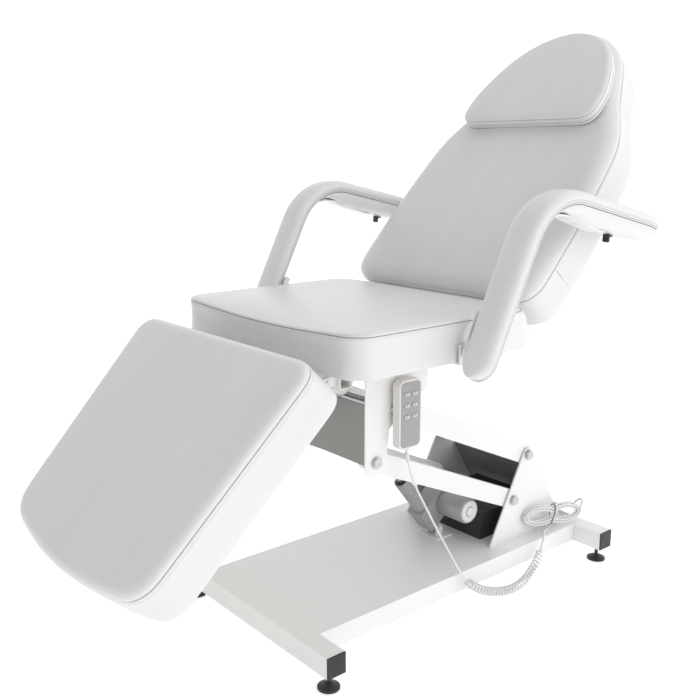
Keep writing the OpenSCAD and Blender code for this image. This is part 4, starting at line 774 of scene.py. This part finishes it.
leg, leg_seams = cushion("legrest_pad", leg_line, leg_mid, leg_profile, at_leg,
                         crowned(base=-0.8, rise=4.8, run=50.0, wave=3.2, size=165.0, along=3.5, seed=2.4,
                                 fade=55.0), seams=[("seam", 1.4, -20.6, SEAM_R)])
dress(leg, leg_seams, "legrest", "legrest_cushion")
leg_row = np.array([at_leg((q[0], q[1], -29.5)) for q in inset(leg_line, 0.15)])
leg_stitch = stitches("legrest_stitching", np.vstack([leg_row, leg_row[:1]]), spacing=0.0058, length=0.0036,
                      radius=0.00042, mat=THREAD)
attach(leg_stitch, "legrest")
side_seam("legrest_side_seam", at_leg, LEG_W / 2 - 3,
          [(-50, -22, 1.6), (-51, -34, 1.0), (-53, -58, 2.0), (-54, -80, 1.1), (-55, -97, 0.8)], "legrest")

# Armrest pads

ARM = dict(w=84.0, x=406.0, t0=34.0, t1=72.0, up_l=316.0, fore_l=332.0, lean=63.5, slope=-12.5, droop=-21.0,
           r=172.0, droop_l=90.0, thin_l=90.0, tip_t=28.0, foot=(293.0, 673.0), start=0.38, grow=0.75)
bend_a = ARM["lean"] - ARM["slope"]
bend_l = ARM["r"] * math.radians(bend_a)
arm_up = np.array([math.cos(math.radians(ARM["lean"])), math.sin(math.radians(ARM["lean"]))])


def flip(v):
    return np.array([-v[1], v[0]])


def direction(deg):
    return np.array([math.cos(math.radians(deg)), math.sin(math.radians(deg))])


bend_c = np.array(ARM["foot"]) + ARM["up_l"] * arm_up - ARM["r"] * flip(arm_up)
fore_start = bend_c + ARM["r"] * flip(direction(ARM["slope"]))
arm_total = ARM["up_l"] + bend_l + ARM["fore_l"]


def arm_angle(u):
    if u < ARM["up_l"]:
        return ARM["lean"]
    if u < ARM["up_l"] + bend_l:
        return ARM["lean"] - bend_a * (u - ARM["up_l"]) / bend_l
    if u < arm_total - ARM["droop_l"]:
        return ARM["slope"]
    return ARM["slope"] + (ARM["droop"] - ARM["slope"]) * (u - arm_total + ARM["droop_l"]) / ARM["droop_l"]


def arm_place(u):
    if u < ARM["up_l"]:
        return np.array(ARM["foot"]) + u * arm_up
    if u < ARM["up_l"] + bend_l:
        return bend_c + ARM["r"] * flip(direction(arm_angle(u)))
    if u < arm_total - ARM["droop_l"]:
        return fore_start + (u - ARM["up_l"] - bend_l) * direction(ARM["slope"])
    a = (ARM["slope"] + arm_angle(u)) / 2
    return fore_start + (ARM["fore_l"] - ARM["droop_l"]) * direction(ARM["slope"]) \
        + (u - arm_total + ARM["droop_l"]) * direction(a)


def arm_thick(u):
    grow = ease((u - ARM["up_l"] - ARM["start"] * bend_l) / (ARM["grow"] * bend_l))
    thin = max(0.0, (u - arm_total + ARM["thin_l"]) / ARM["thin_l"]) ** 2
    return ARM["t0"] + (ARM["t1"] - ARM["t0"]) * grow - (ARM["t1"] - ARM["tip_t"]) * thin


ARM_SKIN, TOP_T, TOP_BASE, DENT_AFTER = 0.3, 33.7, 31.6, 14.0


def arm_flat(u):
    """How much of its depth the top pad has there: less than 1 where the armrest thins to its tip."""
    return min(1.0, (arm_thick(u) - ARM_SKIN) / ARM["t0"])


# half section of the top pad: share of the half width and depth under the outer face
TOP_HALF = [(0, 0.2), (0.2, 0.35), (0.4, 1.0), (0.58, 2.4), (0.73, 4.9), (0.85, 8.6), (0.93, 13), (0.975, 18),
            (0.99, 21.6), (0.972, 22.6), (0.985, 23.6), (1.0, 25.2), (0.985, 26.8), (0.968, 27.8),
            (0.985, 28.8), (0.985, 30.0), (0.93, 31.0)]
# half section of the lower pad: share of the half width, what its roundness adds to that, and depth
# under the top pad, in millimetres and as a share of the lower pad's own thickness
LOW_HALF = [(0.93, -0.03, 0.0, 0.0), (0.90, 0.0, 0.7, 0.0), (0.90, 0.04, 1.2, 0.10), (0.90, 0.07, 1.5, 0.28),
            (0.88, 0.08, 1.7, 0.5), (0.84, 0.07, 1.9, 0.7), (0.74, 0.05, 2.0, 0.86), (0.55, 0.02, 2.05, 0.96),
            (0.28, 0.0, 2.1, 1.0), (0.0, 0.0, 2.1, 1.0)]


def arm_section(u, scale):
    """Points round the pad at a distance along it, as (across, depth)."""
    h = ARM["w"] / 2 * scale
    low = max(0.0, arm_thick(u) - ARM_SKIN - TOP_T)
    k = arm_flat(u)
    top = [(x * h, d * k) for x, d in TOP_HALF]
    base = TOP_BASE * k
    dent = ease(low / DENT_AFTER)
    lower = [(h * (share + more * dent), base + under + part * low) for share, more, under, part in LOW_HALF]
    one = top + lower
    return one + [(-x, d) for x, d in reversed(one[1:-1])]


END, END_ANGLES = ARM["w"] / 2, (4, 12, 22, 34, 47, 60, 74, 88)
stations = [END * (1 - math.cos(math.radians(t))) for t in END_ANGLES]
stations += list(np.linspace(END * 1.15, ARM["up_l"], 12))
stations += list(ARM["up_l"] + bend_l * np.linspace(0.04, 1, 26))
stations += list(np.linspace(arm_total - ARM["fore_l"] + 14, arm_total - END * 1.15, 20))
stations += [arm_total - END * (1 - math.cos(math.radians(t))) for t in END_ANGLES[::-1]]


def arm_scale(u):
    e = min(u, arm_total - u)
    return 1.0 if e > END else math.sqrt(max(0.0, END ** 2 - (END - e) ** 2)) / END


def arm_point(u, across, depth, side):
    inward = -flip(direction(arm_angle(u)))
    q = arm_place(u) + inward * depth
    return row([side * (ARM["x"] + across), q[0], q[1]])


def armrest(side, name, body, node):
    rings = []
    for u in stations:
        rings.append([arm_point(u, x, d, side) for x, d in arm_section(u, arm_scale(u))])
    n, m = len(rings[0]), len(rings)
    verts = [q for r in rings for q in r]
    verts += [arm_point(u, 0, arm_thick(u) / 2, side) for u in (stations[0], stations[-1])]
    faces = grid_faces(m, n)
    faces += [((j + 1) % n, j, len(verts) - 2) for j in range(n)]
    faces += [((m - 1) * n + j, (m - 1) * n + (j + 1) % n, len(verts) - 1) for j in range(n)]
    if side < 0:
        faces = [tuple(reversed(f)) for f in faces]
    ob = mesh_object(name, verts, faces, VINYL)
    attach(ob, body)
    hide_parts(node)

    def line_round(us, share, depth):
        return np.array([arm_point(u, sign * share * ARM["w"] / 2 * arm_scale(u), depth * arm_flat(u), side)
                         for sign in (1, -1) for u in us[::sign]])
    # a line of painted shadow on each side of the piping, and the painted shadow line between the pads of the
    # forearm
    for tag, share, depth, radius, mat in (("upper_seam_shadow", 0.968, 22.6, 0.0006, PALER_SEAM_SHADOW),
                                           ("lower_seam_shadow", 0.966, 27.8, 0.0008, SEAM)):
        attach(sweep(name + "_" + tag, line_round(stations, share, depth), radius, mat, sides=6,
                      closed=True), body)
    fore = [u for u in stations if u > ARM["up_l"] + bend_l * 0.42]
    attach(sweep(name + "_gap_shadow_line", line_round(fore, 0.905, 32.0), 0.0011, SEAM, sides=6), body)


armrest(1, "armrest_right_pad", "armrest_right", "armrest_pad_right")
armrest(-1, "armrest_left_pad", "armrest_left", "armrest_pad_left")

# Materials of the nodes that stay

LOOKS = [
    (STEEL, ["front_crossbar", "rear_crossbar", "base_pan", "lift_clevis", "lower_arm", "upper_arm",
             "seat_frame", "armrest_crossbar", "backrest_frame", "legrest_frame", "armrest_core_left",
             "armrest_core_right"]),
    (BRACKET_INNER_SHADE, ["rear_bracket"]), (TOWER_INNER_SHADE, ["tower"]), (BOX, ["control_box"]), (CORD, ["mains_plug"]),
    (BLACK, ["bar_caps", "foot_front_left", "foot_front_right", "foot_rear_left", "foot_rear_right"]),
    (CHROME, ["bracket_shafts", "tower_shaft", "lower_arm_pins", "seat_pins", "armrest_bolts", "handset_hook",
              "backrest_pin", "legrest_pin", "lift_rod", "back_rod", "leg_rod"]),
    (GRAY, ["lift_housing", "back_housing", "leg_housing"]),
    (MOTOR, ["lift_motor", "back_motor", "leg_motor"]),
    (PLY, ["seat_board", "backrest_board", "legrest_board"]), (LIGHT, ["handset_shell"]),
    (PANEL, ["handset_panel"]), (KEY, [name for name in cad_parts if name.startswith("button_")]),
]
for mat, names in LOOKS:
    for name in names:
        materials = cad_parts[name].data.materials
        materials.clear()
        materials.append(mat)

# width in millimetres of the round on a node's edges
SOFT_EDGE = {"front_crossbar": 0.9, "rear_crossbar": 0.9, "base_pan": 0.7, "rear_bracket": 0.8,
             "lower_arm": 0.9, "upper_arm": 0.9, "tower": 0.8, "bar_caps": 1.0, "control_box": 4.0,
             "lift_housing": 2.0, "back_housing": 2.0, "leg_housing": 2.0, "lift_motor": 2.0,
             "back_motor": 2.0, "leg_motor": 2.0, "handset_shell": 2.0, "bracket_shafts": 0.8,
             "tower_shaft": 0.8, "seat_frame": 0.6, "mains_plug": 1.5}
WELD_GAP, FLAT_ANGLE, EDGE_ANGLE = 0.00001, 0.5, 40
for name, width in SOFT_EDGE.items():
    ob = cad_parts[name]
    weld = ob.modifiers.new("join", "WELD")
    weld.merge_threshold = WELD_GAP
    flat = ob.modifiers.new("flat_faces", "DECIMATE")
    flat.decimate_type = "DISSOLVE"
    flat.angle_limit = math.radians(FLAT_ANGLE)
    bevel = ob.modifiers.new("soft_edge", "BEVEL")
    bevel.width = width / 1000
    bevel.segments = 3
    bevel.limit_method = "ANGLE"
    bevel.angle_limit = math.radians(EDGE_ANGLE)


PLATE_EDGE = 0.6


def plate(name, outline, x, t, mat, body):
    """A thin plate across X with its Y-Z outline in millimetres and softened edges."""
    n = len(outline)
    rings = []
    c = np.mean(outline, axis=0)
    for dx, d in ((0, PLATE_EDGE), (0.25, 0), (0.75, 0), (1, PLATE_EDGE)):
        for p in outline:
            v = p - c
            q = c + v * (1 - d / (np.linalg.norm(v) + 1e-9))
            rings.append(row([x + dx * t, q[0], q[1]]))
    faces = [(b, a, d, c_) for a, b, c_, d in grid_faces(4, n)]
    faces += [tuple(range(n)), tuple(3 * n + k for k in range(n - 1, -1, -1))]
    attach(mesh_object(name, rings, faces, mat, smooth=False), body)


def disc(name, centre, r, x0, x1, mat, body, dome=0.0, n=48):
    """A turned piece across X: rings from x0 to x1 in millimetres, with a slight dome."""
    t = x1 - x0
    prof = [(0, x0), (r * 0.98, x0), (r, x0 + 0.15 * t), (r, x0 + 0.7 * t), (r * 0.96, x1 - 0.1 * t),
            (r * 0.88, x1), (r * 0.5, x1 + dome * 0.7), (r * 0.15, x1 + dome), (0, x1 + dome)]
    verts = []
    for rad, x in prof[1:-1]:
        for k in range(n):
            a = 2 * math.pi * k / n
            verts.append(row([x, centre[0] + rad * math.cos(a), centre[1] + rad * math.sin(a)]))
    faces = grid_faces(len(prof) - 2, n)
    verts += [row([prof[0][1], *centre]), row([prof[-1][1], *centre])]
    faces += [((k + 1) % n, k, len(verts) - 2) for k in range(n)]
    base = (len(prof) - 3) * n
    faces += [(base + k, base + (k + 1) % n, len(verts) - 1) for k in range(n)]
    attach(mesh_object(name, verts, faces, mat), body)


# a cap on the end of each motor, with a boss in a groove whose shade is painted as a black ring
CAP_R, GROOVE_R, BOSS_R = 29.5, 14.5, 13.0
for motor, body in (("lift_motor", "lift_tube"), ("back_motor", "back_tube"), ("leg_motor", "leg_tube")):
    lo, hi = [np.array(v) * 1000 + np.array([0, ORIGIN_Y, 0]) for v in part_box(motor)]
    at = ((lo[1] + hi[1]) / 2, (lo[2] + hi[2]) / 2)
    disc(motor + "_cap", at, CAP_R, hi[0] - 0.5, hi[0] + 1.4, CAP, body)
    disc(motor + "_groove_shade", at, GROOVE_R, hi[0] + 1.0, hi[0] + 1.6, PRINT_AND_SHADE, body)
    disc(motor + "_boss", at, BOSS_R, hi[0] + 1.2, hi[0] + 3.6, CAP, body, dome=0.8)


CATCH_AT, CATCH_W = 0.62, 16
CATCH_SHAPE = [(0, 1), (20, 1), (20, 4), (11, 5), (7, 11), (10, 17), (7, 20), (3, 19), (2, 12), (1, 5)]


def catch(side, body):
    """A small black catch under the forearm, its outline as (along, down) from where it starts."""
    u = ARM["up_l"] + bend_l + (ARM["fore_l"] - ARM["droop_l"]) * CATCH_AT
    start, along_arm = arm_place(u), direction(arm_angle(u))
    inward = -flip(along_arm)
    line = np.array([start + a * along_arm + (arm_thick(u) + d) * inward for a, d in CATCH_SHAPE])
    plate("armrest_catch_" + ("right" if side > 0 else "left"), line, side * ARM["x"] - CATCH_W / 2, CATCH_W,
          BLACK, body)


catch(1, "armrest_right")
catch(-1, "armrest_left")


RIM_OUT, RIM_R, MARK_R = 0.0004, 0.00055, 0.0024


def button_trims(name, ob):
    """A dark rim round a button, painted shade of the gap round it, and a small printed triangle on it that
    points up or down.
    """
    verts = np.array([ob.matrix_world @ v.co for v in ob.data.vertices])
    lo, hi = verts.min(axis=0), verts.max(axis=0)
    mid, x = (lo + hi) / 2, hi[0]
    w, h = hi[1] - lo[1], hi[2] - lo[2]
    r, flat = h / 2 + RIM_OUT, (w - h) / 2
    line = [(flat + r * math.cos(t), r * math.sin(t)) for t in np.linspace(-math.pi / 2, math.pi / 2, 13)]
    line += [(-a, -b) for a, b in line]
    panel_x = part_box("handset_panel")[1][0]
    rim = sweep(name + "_rim_shade", [(panel_x - 0.0001, mid[1] + a, mid[2] + b) for a, b in line], RIM_R, PRINT_AND_SHADE,
                sides=6, closed=True)
    turn = 90 if name.endswith("up") else -90
    tri = arc(mid[1], mid[2], MARK_R, (turn, turn + 120, turn + 240))
    prism = [(x - 0.00015, a, b) for a, b in tri] + [(x + 0.00012, a, b) for a, b in tri]
    faces = [(2, 1, 0), (3, 4, 5)] + [(k, (k + 1) % 3, (k + 1) % 3 + 3, k + 3) for k in range(3)]
    mark = mesh_object(name + "_mark", prism, faces, PRINT_AND_SHADE, smooth=False)
    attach(rim, "handset")
    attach(mark, name)


for name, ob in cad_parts.items():
    if name.startswith("button_"):
        button_trims(name, ob)

# Floor, light and the view of the render

EXPOSURE = 0.29
FLOOR_GLOW, FLOOR_DARK, FLOOR_PALE = 0.36, 0.88, 0.90
# the studio is bright all round but for a dim front wall, towards DIM_SIDE, and a slightly dimmer ceiling
DIM_SIDE, BRIGHT, DIM, ROOF_DIM = [-0.10, -0.93, 0.18], 1.02, 0.40, 0.62


def stage_floor():
    bpy.ops.mesh.primitive_plane_add(size=40, location=(0, 0, -0.0005))
    floor = bpy.context.object
    floor.name = "studio_floor"
    m = bpy.data.materials.new("studio_white")
    m.use_nodes = True
    nt = m.node_tree
    b = nt.nodes["Principled BSDF"]
    cloud = new_node(nt, "TexNoise", Scale=0.6)
    ramp = new_node(nt, "ValToRGB")
    for element, tone in zip(ramp.color_ramp.elements, (FLOOR_DARK, FLOOR_PALE)):
        element.color = (tone, tone, tone, 1)
    nt.links.new(cloud.outputs["Fac"], ramp.inputs["Fac"])
    nt.links.new(ramp.outputs["Color"], b.inputs["Base Color"])
    b.inputs["Roughness"].default_value = 0.9
    b.inputs["Emission Color"].default_value = (1, 1, 1, 1)
    b.inputs["Emission Strength"].default_value = FLOOR_GLOW
    floor.data.materials.append(m)


def stage_world():
    world = bpy.data.worlds.new("studio")
    scene.world = world
    world.use_nodes = True
    nt = world.node_tree
    bg = nt.nodes["Background"]
    coord = new_node(nt, "TexCoord")
    dot = new_node(nt, "VectorMath")
    dot.operation = "DOT_PRODUCT"
    dot.inputs[1].default_value = tuple(unit(DIM_SIDE))
    nt.links.new(coord.outputs["Generated"], dot.inputs[0])
    front = new_node(nt, "MapRange", From_Min=0.05, From_Max=0.85, To_Min=BRIGHT, To_Max=DIM)
    front.interpolation_type = "SMOOTHSTEP"
    nt.links.new(dot.outputs["Value"], front.inputs["Value"])
    rise = new_node(nt, "SeparateXYZ")
    nt.links.new(coord.outputs["Generated"], rise.inputs["Vector"])
    roof = new_node(nt, "MapRange", From_Min=0.35, From_Max=0.95, To_Min=1.0, To_Max=ROOF_DIM)
    roof.interpolation_type = "SMOOTHSTEP"
    nt.links.new(rise.outputs["Z"], roof.inputs["Value"])
    both = new_node(nt, "Math")
    both.operation = "MULTIPLY"
    nt.links.new(front.outputs["Result"], both.inputs[0])
    nt.links.new(roof.outputs["Result"], both.inputs[1])
    nt.links.new(both.outputs["Value"], bg.inputs["Strength"])
    bg.inputs["Color"].default_value = (1, 1, 1, 1)


def softbox(name, place, size, power, target=(0, 0, 0.7)):
    data = bpy.data.lights.new(name, "AREA")
    data.energy, data.size = power, size
    ob = bpy.data.objects.new(name, data)
    scene.collection.objects.link(ob)
    ob.location = place
    ob.rotation_mode = "QUATERNION"
    ob.rotation_quaternion = (Vector(target) - Vector(place)).to_track_quat("-Z", "Y")


stage_floor()
stage_world()
softbox("side_softbox", (3.6, 0.9, 1.6), size=2.6, power=10)
softbox("top_softbox", (0.4, 1.2, 3.6), size=2.2, power=8)
scene.view_settings.view_transform = "Standard"
scene.view_settings.look = "None"
scene.view_settings.exposure = EXPOSURE
